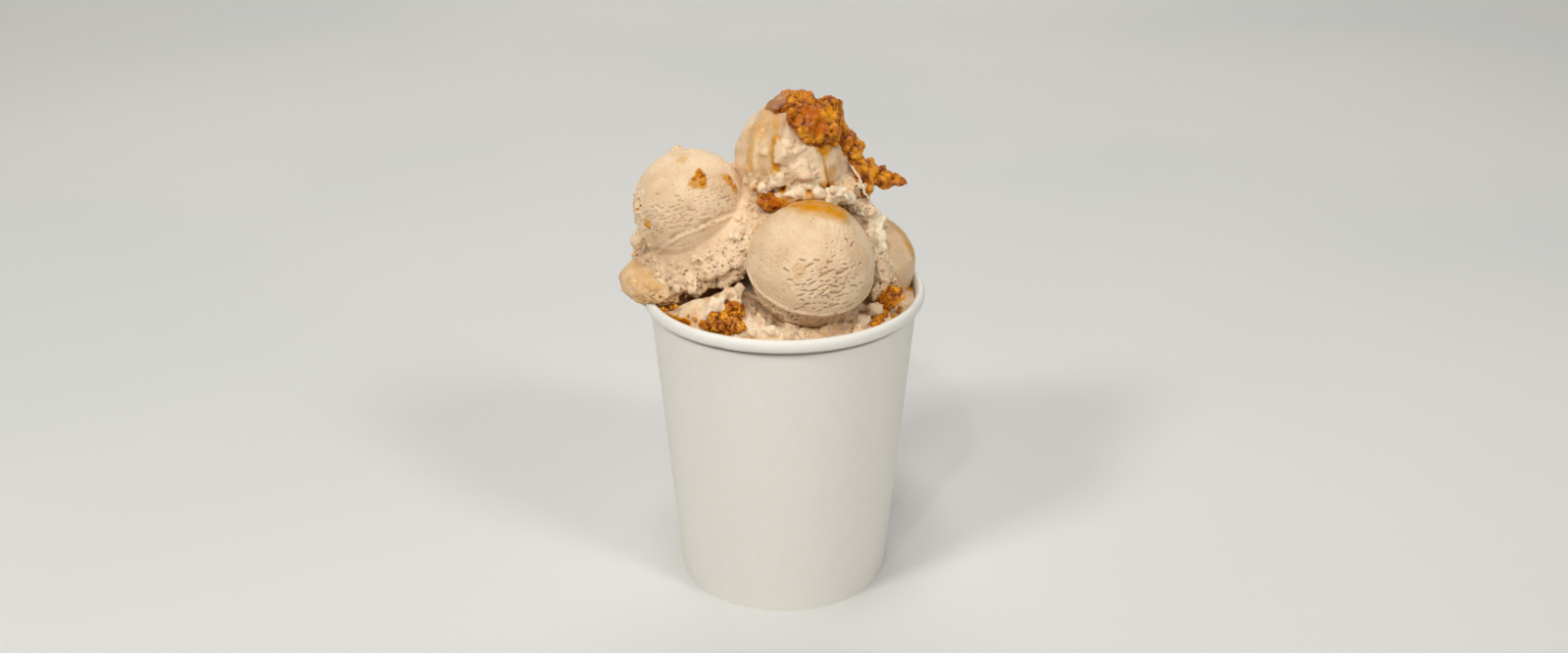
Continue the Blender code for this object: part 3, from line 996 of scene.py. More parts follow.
@dataclass
class PaperCup:
    """The paper cup: a cone of board with a rolled rim, a lap seam and a set-in base.

    Attributes:
        segments: How many segments its round has.
        bead_steps: How many steps its rolled rim has.
        seam_turn: Where the lap seam is, in degrees round the axis.
        seam_width: The lap's width in millimetres.
        seam_step: How far the lap stands out in millimetres.
        pinches: How far below the roll, and how deep, the board is pinched.
    """

    segments: int = 176
    bead_steps: int = 22
    seam_turn: float = 96.0
    seam_width: float = 7.0
    seam_step: float = 0.3
    pinches: tuple[tuple[float, float], ...] = (
        (0.0, 0.5), (0.5, 0.55), (1.0, 0.5), (1.4, 0.2), (1.8, 0.0), (2.5, 0.0),
    )

    def profile(self) -> list[tuple[float, float]]:
        """Returns the half section, from the middle of the floor, over the rim and down."""
        floor = BASE_RECESS + BASE_DISC
        points = [(0.0, floor), (inner_radius(floor) - 1.0, floor)]
        points.append((inner_radius(floor), floor + 0.6))
        for step in range(1, 6):
            z = floor + (BEAD_Z - floor) * step / 6.0
            points.append((inner_radius(z), z))
        for step in range(self.bead_steps + 1):
            angle = math.pi - 1.45 * math.pi * step / self.bead_steps
            x = BEAD_X + BEAD_WIDTH / 2 * math.cos(angle)
            points.append((x, BEAD_Z + BEAD_HEIGHT / 2 * math.sin(angle)))
        # The board is pinched where the roll presses on it; the dark line there comes from this
        # groove and from a painted shadow in the colour.
        top = CUP_HEIGHT - BEAD_HEIGHT + 0.3
        for drop, pinch in self.pinches:
            points.append((wall_radius(top - drop) - pinch, top - drop))
        for step in range(1, 11):
            z = top * (1.0 - step / 10.0)
            points.append((wall_radius(z) if z > 0.5 else BASE_RADIUS, z))
        hem = BASE_RADIUS - BASE_HEM
        points += [(BASE_RADIUS - 0.35, 0.0), (hem, 0.0), (hem, BASE_RECESS - 0.8)]
        return points + [(hem - 0.8, BASE_RECESS), (0.0, BASE_RECESS)]

    def build(self) -> bpy.types.Object:
        """Returns the cup."""
        bm = bmesh.new()
        spin_into(bm, self.profile(), self.segments)
        cup = new_piece("cup_shell", bm)
        points = read_points(cup.data)
        write_points(cup.data, self.with_seam(points))
        # Painted shadow: a band on the outside, just under the roll, is darkened in colour.
        above = points[:, 2] - CUP_HEIGHT + BEAD_HEIGHT
        shade = smooth_step(-2.2, -0.9, above) * (1.0 - smooth_step(0.4, 1.4, above))
        outside = np.hypot(points[:, 0], points[:, 1]) > inner_radius(points[:, 2]) + 0.03
        write_masks(cup.data, {"painted_roll_shadow_mask": 0.75 * shade * outside})
        cup.data.set_sharp_from_angle(angle=math.radians(42))
        cup.data.materials.append(PaperFinish().build())
        return cup

    def with_seam(self, points: np.ndarray) -> np.ndarray:
        """Raises the lap seam at the back and lets the rolled rim waver a little.

        Args:
            points: The points of the turned cup.

        Returns:
            The points with the seam and the wavering rim.
        """
        out = np.linalg.norm(points[:, :2], axis=1)
        turn = np.arctan2(points[:, 1], points[:, 0])
        z = points[:, 2]
        off_axis = out > 20.0
        seam = math.radians(self.seam_turn)
        half = 0.5 * self.seam_width / np.maximum(out, 20.0)
        away = (turn - seam + math.pi) % (2.0 * math.pi) - math.pi
        pitch = 2.0 * math.pi / self.segments
        # The columns nearest to each edge of the lap close up, which makes its step crisp.
        for edge in (-1.0, 1.0):
            gap = away - edge * half
            near = (np.abs(gap) < 0.75 * pitch) & off_axis
            turn = np.where(near, turn - gap + np.sign(gap) * 0.12 / RIM_RADIUS, turn)
        away = (turn - seam + math.pi) % (2.0 * math.pi) - math.pi
        inside = np.where(z > BASE_RECESS + 1.0, inner_radius(z) + 0.3, BASE_RADIUS - 2.5)
        lap = 1.0 - smooth_step(0.0, 0.25, (np.abs(away) - half) * RIM_RADIUS)
        out = out + self.seam_step * lap * (out > inside) * off_axis
        top = smooth_step(CUP_HEIGHT - 14.0, CUP_HEIGHT - 5.0, z)
        waver = 0.16 * np.sin(2.0 * turn + 0.6) + 0.07 * np.sin(5.0 * turn)
        # The roll has one small kink, at the front left.
        kink = 0.35 * np.exp(-(((turn + 2.02) / 0.035) ** 2)) * (out > RIM_RADIUS - 2.5)
        out = np.where(off_axis, out + top * (waver - kink), out)
        return np.column_stack((out * np.cos(turn), out * np.sin(turn), z))


@dataclass
class GelatoBall:
    """One scooped ball of gelato, with its torn collar and what has melted onto it.

    Attributes:
        ball: Its main form.
        voxel: The size of its faces in millimetres.
        crumbs: Lumps melted into it.
        creases: Grooves in its skin.
        grain: How rough its dome is, in millimetres.
        rings: What the scoop's edge left round its dome.
        step: How far the skin falls back under the dome's lip.
        tears: Torn patches in its skin.
        stains: Patches that honey or toffee colours.
        pores: How many open bubbles its dome has.
        melt: How far its dome has sagged out of round, in millimetres.
        ragged: How rough the collar is, in millimetres.
        hanging: How many small random lumps the collar carries.
        rubble: Patches of small lumps.
        strands: Strings of melted cream.
        dents: Hollows in its skin.
        wet: How much melted honey is soaked into it, from 0 to 1.
        soften: How often its lumps are smoothed.
    """

    ball: Ball
    voxel: float = 0.5
    crumbs: tuple[Crumb, ...] = ()
    creases: tuple[Crease, ...] = ()
    grain: float = 0.11
    rings: tuple[Ring, ...] = ()
    step: float = 0.0
    tears: tuple[Tears, ...] = ()
    stains: tuple[Stain, ...] = ()
    pores: int = 160
    melt: float = 0.16
    ragged: float = 1.0
    hanging: int = 120
    rubble: tuple[Rubble, ...] = ()
    strands: tuple[Strand, ...] = ()
    dents: tuple[Swelling, ...] = ()
    wet: float = 0.0
    soften: int = 1

    def loose_lumps(self) -> list[Crumb]:
        """Returns small random lumps along the collar's edge and in the rubble."""
        ball = self.ball
        rng = np.random.default_rng(int(ball.seed))
        dome = unit(ball.dome)
        side = unit(np.cross(dome, (0.3, 0.9, 0.1)))
        other = np.cross(dome, side)
        found = []
        for _ in range(self.hanging):
            around = rng.uniform(0.0, 2.0 * math.pi)
            polar = math.radians(rng.uniform(ball.lip + 4.0, ball.collar + 11.0))
            ring = math.cos(around) * side + math.sin(around) * other
            toward = unit(math.cos(polar) * dome + math.sin(polar) * ring)
            size = rng.uniform(0.6, 1.5) * self.ragged
            stretch = tuple(rng.uniform(0.75, 1.35, 3))
            cream = rng.uniform(0.0, 0.4)
            found.append(Crumb(ball.place(toward, 0.2), size, stretch, cream))
        for patch in self.rubble:
            for _ in range(patch.count):
                stray = rng.normal(0.0, 0.5 * patch.spread / ball.radius, 3)
                toward = unit(unit(patch.toward) + stray)
                size = patch.size * rng.uniform(0.55, 1.4)
                stretch = tuple(rng.uniform(0.75, 1.35, 3))
                place = ball.place(toward, 0.3 * size)
                found.append(Crumb(place, size, stretch, patch.cream))
        for strand in self.strands:
            found += strand.beads()
        return found

    def build(self, finish: bpy.types.Material) -> bpy.types.Object:
        """Builds the ball.

        Args:
            finish: The gelato material.

        Returns:
            The finished object.
        """
        ball = self.ball
        bm = bmesh.new()
        bmesh.ops.create_icosphere(bm, subdivisions=6, radius=1.0)
        toward = unit(np.array([vert.co[:] for vert in bm.verts]))
        rough = lumps(toward * ball.radius, 2.6, ball.seed + 1.0)
        rough += 0.6 * lumps(toward * ball.radius, 1.4, ball.seed + 2.0)
        reach = ball.reach(toward) + self.ragged * 1.1 * ball.collar_share(toward) * rough
        for dent in self.dents:
            away = ball.apart(toward, dent.toward) / dent.radius
            reach -= dent.height * (1.0 - smooth_step(0.4, 1.0, away))
        places = toward * reach[:, None] * np.array(ball.squash)
        for vert, place in zip(bm.verts, places + np.array(ball.centre)):
            vert.co = place
        crumbs = list(self.crumbs) + self.loose_lumps()
        melt_in(bm, crumbs, ball.seed)
        piece = melted_piece(ball.name + "_gelato", bm, self.voxel, self.soften)
        self.dress(piece.data, crumbs)
        piece.data.materials.append(finish)
        return piece

    def torn_pattern(self, toward: np.ndarray) -> tuple[np.ndarray, np.ndarray]:
        """Works out the cracks and pores.

        Args:
            toward: Directions from the ball's middle, one a row.

        Returns:
            The depth in millimetres, and the strength of the painted shade, from 0 to 1.
        """
        ball = self.ball
        depth = np.zeros(len(toward))
        painted_shade = np.zeros(len(toward))
        for patch in self.tears:
            middle = unit(patch.toward)
            along = np.array(patch.along)
            along = unit(along - (along @ middle) * middle)
            across = np.cross(middle, along)
            u = toward @ along * ball.radius
            v = toward @ across * ball.radius
            facing = smooth_step(0.2, 0.4, toward @ middle)
            starts, ends, halves = patch.strokes()
            bend = 0.4 * lumps(toward * ball.radius, 2.2, patch.seed)
            place = np.column_stack((u, v + bend))
            away, which = stroke_distance(place, starts, ends, 0.55)
            half = halves[which]
            pocket = (1.0 - smooth_step(0.45 * half, half + 0.12, away)) * facing
            below = np.sign(starts[which, 1] + ends[which, 1] - 2.0 * place[:, 1])
            crest = np.exp(-(((away - half - 0.35) / 0.3) ** 2)) * (below > 0.0) * facing
            depth = np.maximum(depth, pocket * patch.depth)
            depth -= 0.3 * patch.depth * crest * (depth < 0.05)
            # Painted shade darkens each pocket.
            painted_shade = np.maximum(painted_shade, pocket * patch.painted_shade)
        if self.pores:
            rng = np.random.default_rng(int(ball.seed) + 500)
            spots = unit(rng.normal(0.0, 1.0, (self.pores, 3)))
            away, which = dots_distance(toward, spots)
            radius = rng.uniform(0.25, 0.6, self.pores)[which]
            pore = 1.0 - smooth_step(0.4, 1.1, away * ball.radius / radius)
            depth = np.maximum(depth, 0.35 * pore)
            # Painted shade darkens each pore.
            painted_shade = np.maximum(painted_shade, 0.35 * pore)
        return depth, painted_shade

    def creased(self, toward: np.ndarray) -> np.ndarray:
        """Returns how far the creases sink or raise each direction, in millimetres."""
        ball = self.ball
        height = np.zeros(len(toward))
        for crease in self.creases:
            path = unit(np.array(crease.through))
            waver = lumps(toward * ball.radius, 5.0, ball.seed + 17.0) / ball.radius
            bent = toward + crease.wavy * waver[:, None]
            away, which = stroke_distance(bent, path[:-1], path[1:])
            side = np.cross(path[:-1], path[1:])[which]
            below = np.sign(np.einsum("ij,ij->i", side, bent)) * away * ball.radius
            height -= crease.depth * np.exp(-((below / crease.half_width) ** 2))
            ridge = np.exp(-(((below + 1.9 * crease.half_width) / crease.half_width) ** 2))
            height += crease.ridge * ridge
        polar = ball.polar(toward)
        for ring in self.rings:
            away = np.radians(polar - ring.polar) * ball.radius / ring.half_width
            turned = np.degrees(np.arccos(np.clip(toward @ unit(ring.toward), -1.0, 1.0)))
            here = 1.0 - smooth_step(0.5 * ring.spread, ring.spread, turned)
            height += ring.height * here * np.exp(-(away**2))
        return height - self.step * smooth_step(ball.lip + 0.3, ball.lip + 2.6, polar)

    def stained(self, points: np.ndarray, toward: np.ndarray) -> np.ndarray:
        """Returns how strongly honey or toffee colours each point."""
        stain = np.zeros(len(points))
        for spot in self.stains:
            away = self.ball.apart(toward, spot.toward)
            away += 0.35 * spot.radius * lumps(points, 1.6, 21.0)
            cover = 1.0 - smooth_step(0.45 * spot.radius, spot.radius, away)
            stain = np.maximum(stain, spot.strength * cover)
        return stain

    def honeyed(self, points: np.ndarray, depths: np.ndarray) -> np.ndarray:
        """Returns how dark honey is at each point, from the depth of each run there."""
        full, strength, uneven = [1.0], [0.0], [0.5]
        for run in self.ball.runs:
            full.append(max(run.depth, 0.01))
            strength.append(run.strength)
            uneven.append(0.1 if run.pooled else 0.5)
        streaks = lumps(points * np.array((1.0, 1.0, 0.4)), 2.4, 17.0)
        thickness = depths / np.array(full)[:, None] * np.array(strength)[:, None]
        return (thickness * (1.0 + np.array(uneven)[:, None] * streaks)).max(axis=0)

    def dress(self, mesh: bpy.types.Mesh, crumbs: list[Crumb]) -> None:
        """Carves the fine relief and stores the masks that the material reads.

        Args:
            mesh: The ball's mesh.
            crumbs: The lumps that were melted into it.
        """
        ball = self.ball
        points, normals = read_points(mesh), read_normals(mesh)
        offset = (points - np.array(ball.centre)) / np.array(ball.squash)
        toward = unit(offset)
        proud = np.linalg.norm(offset, axis=1) - ball.radius
        polar = ball.polar(toward)
        depths = ball.honey_share(toward, ragged=0.8)
        on_skin = 1.0 - smooth_step(1.6, 3.2, np.abs(proud - 0.5 * ball.relief(toward)))
        dome = (1.0 - smooth_step(ball.lip - 1.0, ball.lip + 2.0, polar)) * on_skin
        collar = smooth_step(ball.lip + 2.0, ball.lip + 7.0, polar)
        bare = dome * (1.0 - smooth_step(0.1, 0.3, depths.max(axis=0)))
        torn, painted_shade = (part * bare for part in self.torn_pattern(toward))
        pits = 1.0 - smooth_step(0.15, 0.46, cells(points, 1.7, ball.seed))
        pits *= collar * smooth_step(-0.3, 0.15, lumps(points, 4.0, ball.seed + 9.0))
        small = 1.0 - smooth_step(0.1, 0.4, cells(points, 1.1, ball.seed + 13.0))
        small *= collar * (1.0 - pits)
        # The collar was folded down in layers that run along its edge.
        folded = np.radians(polar) * ball.radius / 1.1
        sheet = np.column_stack((folded, points[:, 0] / 6.0, points[:, 1] / 6.0))
        layers = lumps(sheet, 1.0, ball.seed + 3.0)
        rough = (lumps(points, 1.25, ball.seed + 4.0) + 1.1 * layers) * collar
        soft = self.melt * lumps(points, 3.2 + 2.0 * self.melt, ball.seed + 5.0)
        soft += self.grain * lumps(points, 1.5, ball.seed + 6.0)
        soft += 0.7 * self.grain * lumps(points, 0.8, ball.seed + 16.0)
        # Melted lumps of cream have no open pores.
        cream = cream_near(points, crumbs)
        firm = 1.0 - 0.9 * smooth_step(0.35, 0.7, cream)
        pits, small, rough = pits * firm, small * firm, rough * (0.4 + 0.6 * firm)
        height = 0.5 * rough - 1.1 * pits - 0.5 * small - torn + soft * dome
        height += self.creased(toward) * np.maximum(on_skin, collar)
        write_points(mesh, keep_off_cup(points + normals * height[:, None]))
        wet = self.wet * (1.0 + 0.8 * lumps(points, 5.0, 19.0))
        stain = self.stained(points, toward) * (1.0 - smooth_step(4.0, 7.0, np.abs(proud)))
        soaked = np.maximum(stain * (1.0 - 0.3 * cream), wet)
        masks = {
            "cream_mask": cream,
            # Painted shade for the torn pockets, the pores and the collar's pits.
            "painted_pit_shade_mask": np.maximum(0.6 * painted_shade, 0.6 * pits + 0.3 * small),
            "honey_mask": np.maximum(self.honeyed(points, depths) * on_skin, soaked),
            "stain_mask": 0.25 * stain,
        }
        write_masks(mesh, masks)


@dataclass(frozen=True)
class Mound:
    """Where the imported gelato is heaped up, or sunk where the height is negative."""

    centre: tuple[float, float]
    height: float
    spread: float


@dataclass
class PackedGelato:
    """The gelato packed into the cup, whose torn top shows between the balls.

    Attributes:
        level: How high its top is where it isn't heaped up, in millimetres.
        rings: How many rings its top is made of.
        segments: How many segments its round has.
        cap_floor: Where its torn top ends and its plain body starts.
        voxel: The size of its faces in millimetres.
        mounds: Where it is heaped up.
        crumbs: Lumps melted into it.
        scattered: How many random lumps are tried on its top.
        shelf_turn: Where its smooth shelf is, as an angle round the axis.
        shelf_half: Half the shelf's angle.
        seed: Makes its lumps differ from those of others.
    """

    level: float = 129.5
    rings: int = 44
    segments: int = 150
    cap_floor: float = 116.0
    voxel: float = 0.62
    mounds: tuple[Mound, ...] = (
        Mound((8.0, 8.0), 28.0, 27.0),
        Mound((-23.0, -27.0), 9.0, 15.0),
        Mound((-39.0, -33.0), 5.0, 9.0),
        Mound((-36.0, -19.0), -8.0, 8.5),
    )
    crumbs: tuple[Crumb, ...] = ()
    scattered: int = 200
    shelf_turn: float = math.radians(222.0)
    shelf_half: float = math.radians(23.0)
    seed: int = 71

    def top(self, x: np.ndarray, y: np.ndarray) -> np.ndarray:
        """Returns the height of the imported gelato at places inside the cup."""
        place = np.column_stack((x, y, np.zeros(len(x))))
        height = np.full(len(x), self.level)
        for mound in self.mounds:
            away = np.hypot(x - mound.centre[0], y - mound.centre[1]) / mound.spread
            height += mound.height * np.exp(-(away**3))
        height += 1.4 * lumps(place, 9.0, 71.0) + 0.7 * lumps(place, 4.5, 73.0)
        return height - 2.0 * smooth_step(18.0, 52.0, x) * smooth_step(-35.0, 0.0, y)

    def raised(self, points: np.ndarray) -> np.ndarray:
        """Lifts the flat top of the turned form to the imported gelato's height."""
        brim = inner_radius(self.level) - GAP
        moved = points.copy()
        flat = points[:, 2] > self.level - 0.01
        x, y = points[flat, 0], points[flat, 1]
        shared = 1.0 - smooth_step(0.92, 1.0, np.hypot(x, y) / brim)
        lift = self.top(x, y) - self.level
        moved[flat, 2] += np.where(lift > 0.0, lift * (0.3 + 0.7 * shared), lift)
        return moved

    def scatter(self) -> list[Crumb]:
        """Returns random torn lumps over the ring that shows inside the rim."""
        rng = np.random.default_rng(self.seed)
        turn = rng.uniform(0.0, 2.0 * math.pi, self.scattered)
        # None lie on the smooth shelf at the front left.
        turn = turn[np.abs(turn - self.shelf_turn) > self.shelf_half]
        count = len(turn)
        size = rng.uniform(0.8, 1.75, count) ** 2.0
        out = np.minimum(np.sqrt(rng.uniform(30.0**2, 53.0**2, count)), 54.0 - size)
        x, y = out * np.cos(turn), out * np.sin(turn)
        places = np.column_stack((x, y, self.top(x, y) + 0.15 * size))
        stretch = rng.uniform(0.7, 1.4, (count, 3)) * np.array((1.0, 1.0, 0.75))
        pale = np.maximum(0.0, rng.uniform(-0.6, 0.4, count))
        rows = zip(places.tolist(), size.tolist(), stretch.tolist(), pale.tolist())
        return [Crumb(*row) for row in rows]

    def build(self, finish: bpy.types.Material) -> bpy.types.Object:
        """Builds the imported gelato.

        Args:
            finish: The gelato material.

        Returns:
            The finished object.
        """
        brim = inner_radius(self.level) - GAP
        profile = [(0.0, self.cap_floor), (inner_radius(self.cap_floor) - GAP, self.cap_floor)]
        for step in range(self.rings, -1, -1):
            profile.append((brim * step / self.rings, self.level))
        bm = bmesh.new()
        spin_into(bm, profile, self.segments)
        places = self.raised(np.array([vert.co[:] for vert in bm.verts]))
        for vert, place in zip(bm.verts, places):
            vert.co = place
        crumbs = list(self.crumbs) + self.scatter()
        melt_in(bm, crumbs, 0.4)
        piece = melted_piece("packed_gelato", bm, self.voxel, soften=3)
        self.dress(piece.data, crumbs)
        piece.data.materials.append(finish)
        self.add_body(piece)
        return piece

    def dress(self, mesh: bpy.types.Mesh, crumbs: list[Crumb]) -> None:
        """Carves the torn top and stores the masks that the material reads.

        Args:
            mesh: The mesh of the torn top.
            crumbs: The lumps that were melted into it.
        """
        points, normals = read_points(mesh), read_normals(mesh)
        shown = smooth_step(self.level - 6.0, self.level - 3.0, points[:, 2])
        pits = 1.0 - smooth_step(0.12, 0.45, cells(points, 2.3, 3.0))
        pits *= smooth_step(-0.3, 0.25, lumps(points, 5.0, 9.0))
        small = 1.0 - smooth_step(0.1, 0.4, cells(points, 1.2, 5.0))
        pits = np.maximum(pits, 0.5 * small) * shown
        turn = np.arctan2(points[:, 1], points[:, 0]) % (2.0 * math.pi)
        off_shelf = np.abs(turn - self.shelf_turn) / self.shelf_half
        shelf = 1.0 - smooth_step(0.7, 1.1, off_shelf + 0.3 * lumps(points, 4.0, 6.0))
        cream = cream_near(points, crumbs)
        pits *= (1.0 - 0.85 * shelf) * (1.0 - 0.9 * smooth_step(0.3, 0.6, cream))
        height = 0.45 * lumps(points, 1.3, 4.0) * shown * (1.0 - 0.8 * shelf) - 0.9 * pits
        write_points(mesh, keep_off_cup(points + normals * height[:, None]))
        # Melted honey gathers in the low places and, off the shelf, along the rim.
        syrup = smooth_step(0.1, 0.45, lumps(points, 7.0, 33.0)) * shown
        syrup *= 1.0 - smooth_step(self.level - 0.5, self.level + 1.6, points[:, 2])
        inward = inner_radius(self.level) - GAP - np.hypot(points[:, 0], points[:, 1])
        edge = 1.0 - smooth_step(0.3, 1.4, inward + 1.4 * lumps(points, 4.0, 37.0))
        edge *= 1.0 - smooth_step(1.0, 1.25, off_shelf)
        masks = {
            "cream_mask": cream,
            # Painted shade for the pits.
            "painted_pit_shade_mask": 0.6 * pits,
            "honey_mask": np.maximum(0.6 * syrup, 0.95 * edge),
            "stain_mask": 0.2 * smooth_step(0.2, 0.5, lumps(points, 3.0, 35.0)) * shown,
        }
        write_masks(mesh, masks)

    def add_body(self, piece: bpy.types.Object) -> None:
        """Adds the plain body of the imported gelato, which the cup hides."""
        floor, top = BASE_RECESS + BASE_DISC + GAP, self.cap_floor + 0.5
        profile = [
            (0.0, floor),
            (inner_radius(floor) - GAP, floor),
            (inner_radius(top) - GAP - 0.05, top),
            (0.0, top),
        ]
        bm = bmesh.new()
        spin_into(bm, profile, 96)
        body = new_piece("packed_body", bm)
        joined = bmesh.new()
        joined.from_mesh(piece.data)
        joined.from_mesh(body.data)
        joined.to_mesh(piece.data)
        joined.free()
        spare = body.data
        bpy.data.objects.remove(body, do_unlink=True)
        bpy.data.meshes.remove(spare)


@dataclass(frozen=True)
class ToffeePiece:
    """One broken piece of honeycomb toffee.

    Attributes:
        name: The CAD node that it stands for.
        centre: Its middle.
        half_size: Half its length, width and thickness.
        turn: Its turn about X, Y and Z in degrees.
        tip: How narrow its +X end is.
        knob: How far its knobs stand out.
        seed: Makes its knobs differ from those of others.
        lobes: Lumps melted into it.
        voxel: The size of its faces in millimetres.
        nugget: How large its nuggets are.
        bubble: How rough its broken faces are, in millimetres.
        sponge: How much of its face is open bubbles, from 0 to 1.
        chips: Broken faces: the way each one looks, and its distance from the middle.
        notches: Places and radii of dips in the outline.
        glazed: Places and radii where honey has filled the bubbles.
        milky: Places and radii where it is pale and cloudy.
    """

    name: str
    centre: Place
    half_size: Place
    turn: Place
    tip: float
    knob: float
    seed: float
    lobes: tuple[Crumb, ...] = ()
    voxel: float = 0.36
    nugget: float = 1.0
    bubble: float = 0.8
    sponge: float = 0.3
    chips: tuple[tuple[Place, float], ...] = ()
    notches: tuple[Spot, ...] = ()
    glazed: tuple[Spot, ...] = ()
    milky: tuple[Spot, ...] = ()

    def build(self, finish: bpy.types.Material) -> bpy.types.Object:
        """Builds the piece of toffee.

        Args:
            finish: The toffee material.

        Returns:
            The finished object.
        """
        bm = bmesh.new()
        bmesh.ops.create_icosphere(bm, subdivisions=5, radius=1.0)
        turn = Matrix.Identity(3)
        for axis, degrees in zip("XYZ", self.turn):
            turn = Matrix.Rotation(math.radians(degrees), 3, axis) @ turn
        half = Vector(self.half_size)
        for vert in bm.verts:
            direction = vert.co.normalized()
            boxy = 1.0 / max(abs(part) for part in direction)
            place = direction * (1.0 + 0.45 * (boxy - 1.0)) * half
            narrow = 1.0 + (self.tip - 1.0) * 0.5 * (1.0 + direction.x)
            place.y *= narrow
            place.z *= narrow
            knobs = noise.noise(place / 5.0 + Vector((self.seed, 0.0, 0.0)))
            chips = noise.noise(place / 2.2 + Vector((0.0, self.seed, 0.0)))
            place += direction * (self.knob * knobs + 0.35 * self.knob * chips)
            place = turn @ place
            for facing, reach in self.chips:
                facing = Vector(facing).normalized()
                place -= facing * max(0.0, place.dot(facing) - reach)
            vert.co = Vector(self.centre) + place
        melt_in(bm, list(self.lobes), self.seed)
        piece = melted_piece(self.name + "_broken", bm, self.voxel, soften=0)
        self.dress(piece.data)
        piece.data.materials.append(finish)
        return piece

    def patches(self, points: np.ndarray, spots: tuple[Spot, ...]) -> np.ndarray:
        """Returns how much each point is in some round patches, from 0 to 1."""
        cover = np.zeros(len(points))
        edge = 0.3 * lumps(points, 2.5, self.seed + 3.0)
        for *middle, radius in spots:
            away = np.linalg.norm(points - np.array(middle), axis=1) / radius + edge
            cover = np.maximum(cover, 1.0 - smooth_step(0.65, 1.05, away))
        return cover

    def foamed(self, points: np.ndarray) -> np.ndarray:
        """Returns how open the bubbles are at each point, from 0 to 1."""
        foam = np.zeros(len(points))
        open_to = 0.16 + 0.24 * self.sponge + 0.2 * lumps(points, 3.0, self.seed + 31.0)
        for size, share, seed in ((1.5, 1.0, 1.0), (0.95, 0.75, 2.0)):
            near = cells(points, size, self.seed + seed)
            hole = 1.0 - smooth_step(0.5 * open_to, open_to + 0.03, near)
            foam = np.maximum(foam, share * hole * smooth_step(0.0, 0.1, open_to))
        return foam

    def dress(self, mesh: bpy.types.Mesh) -> None:
        """Opens the bubbles and stores the masks that the material reads."""
        points, normals = read_points(mesh), read_normals(mesh)
        glaze = self.patches(points, self.glazed)
        milky = self.patches(points, self.milky)
        # Nuggets meet in sharp seams, as billows of noise do, and carry finer ones.
        nuggets, lesser, least = (
            np.abs(lumps(points, size * self.nugget, self.seed + seed))
            for size, seed in ((6.5, 11.0), (2.8, 12.0), (1.15, 13.0))
        )
        seam = 1.0 - smooth_step(0.0, 0.2, nuggets + 0.35 * lesser)
        seam *= smooth_step(-0.2, 0.3, lumps(points, 5.0, self.seed + 15.0))
        foam = self.foamed(points)
        dull = (1.0 - 0.3 * glaze) * (1.0 - 0.4 * milky)
        crest = 3.0 * nuggets + 1.6 * lesser + 0.9 * least - 1.3
        height = (crest - 0.8 * foam * (1.0 - glaze)) * self.bubble * dull
        height += glaze * (0.2 + 0.35 * lumps(points, 1.9, self.seed + 41.0))
        for *middle, radius in self.notches:
            away = np.linalg.norm(points - np.array(middle), axis=1) / radius
            height -= 0.7 * radius * (1.0 - smooth_step(0.0, 1.0, away))
        write_points(mesh, keep_off_cup(points + normals * height[:, None], 0.05))
        # Painted shade goes in the seams, the open bubbles and the hollows; painted light goes
        # on the crests.
        hollow_shade = 0.6 * (1.0 - smooth_step(-1.0, -0.1, crest))
        pores = np.maximum.reduce((0.85 * seam, foam * (0.3 + 0.5 * self.sponge), hollow_shade))
        masks = {
            "crest_light_and_tone_mask": smooth_step(-0.3, 1.2, crest) - 0.25 + 0.35 * self.sponge,
            "pore_shade_and_tone_mask": pores * (1.0 - 0.75 * glaze),
            "glaze_mask": glaze,
            "milky_mask": 0.8 * milky,
        }
        write_masks(mesh, masks)


FRONT = Ball(
    "front_scoop", (10.4, -27.0, 150.4), 25.2, dome=(0.14, -0.42, 0.90), lip=91.0,
    collar=100.0, flare=-0.8, foot=30.0, seed=3.0,
    runs=(
        HoneyRun((-0.2, 0.0, 0.98), (0.45, 0.05, 0.89), 6.5, 1.2, 0.6, pooled=True),
        HoneyRun((-0.08, -0.17, 0.98), (0.42, -0.2, 0.88), 5.2, 1.4, 0.62, pooled=True),
    ),
)
LEFT = Ball(
    "left_scoop", (-37.3, -1.0, 165.9), 23.2, dome=(-0.50, -0.37, 0.78), lip=93.0,
    collar=106.5, flare=12.6, foot=26.0, seed=11.0,
    swellings=(
        Swelling((-0.9, -0.43, 0.1), 3.4, 1.0),
        Swelling((-0.25, 0.27, 0.93), 3.0, 1.0),
    ),
)
TOP = Ball(
    "top_scoop", (4.6, 9.0, 182.6), 24.2, dome=(-0.25, -0.12, 1.0), lip=100.0,
    collar=112.0, flare=4.5, foot=20.0, seed=23.0,
    runs=(
        HoneyRun((-0.45, -0.3, 0.84), (-0.69, -0.68, 0.1), 3.6, 0.9, 0.42),
        HoneyRun((-0.28, -0.5, 0.83), (-0.27, -0.96, -0.06), 4.0, 1.1, 0.6),
        HoneyRun((0.34, -0.8, 0.5), (0.46, -0.8, 0.38), 4.6, 0.5, 0.55),
        HoneyRun((0.44, -0.8, 0.4), (0.5, -0.86, -0.1), 2.2, 0.8, 0.55),
        HoneyRun((0.44, -0.89, -0.1), (0.53, -0.84, -0.16), 1.9, 0.7, 0.9),
        HoneyRun((-0.27, -0.96, 0.04), (-0.2, -0.97, -0.14), 2.8, 0.9, 1.3),
        HoneyRun((-0.35, -0.2, 0.92), (-0.62, -0.5, 0.6), 12.0, 0.4, 0.3),
        HoneyRun((-0.5, -0.75, 0.45), (-0.5, -0.85, 0.1), 9.0, 0.2, 0.2),
    ),
    swellings=(
        Swelling((-0.1, -0.93, -0.36), 5.0, 2.6),
        Swelling((0.25, -0.9, -0.36), 4.6, 2.2),
        Swelling((0.6, -0.72, -0.36), 5.4, 3.0),
        Swelling((0.9, -0.3, -0.3), 6.0, 3.6),
        Swelling((0.86, -0.2, -0.47), 8.0, 8.0),
    ),
)
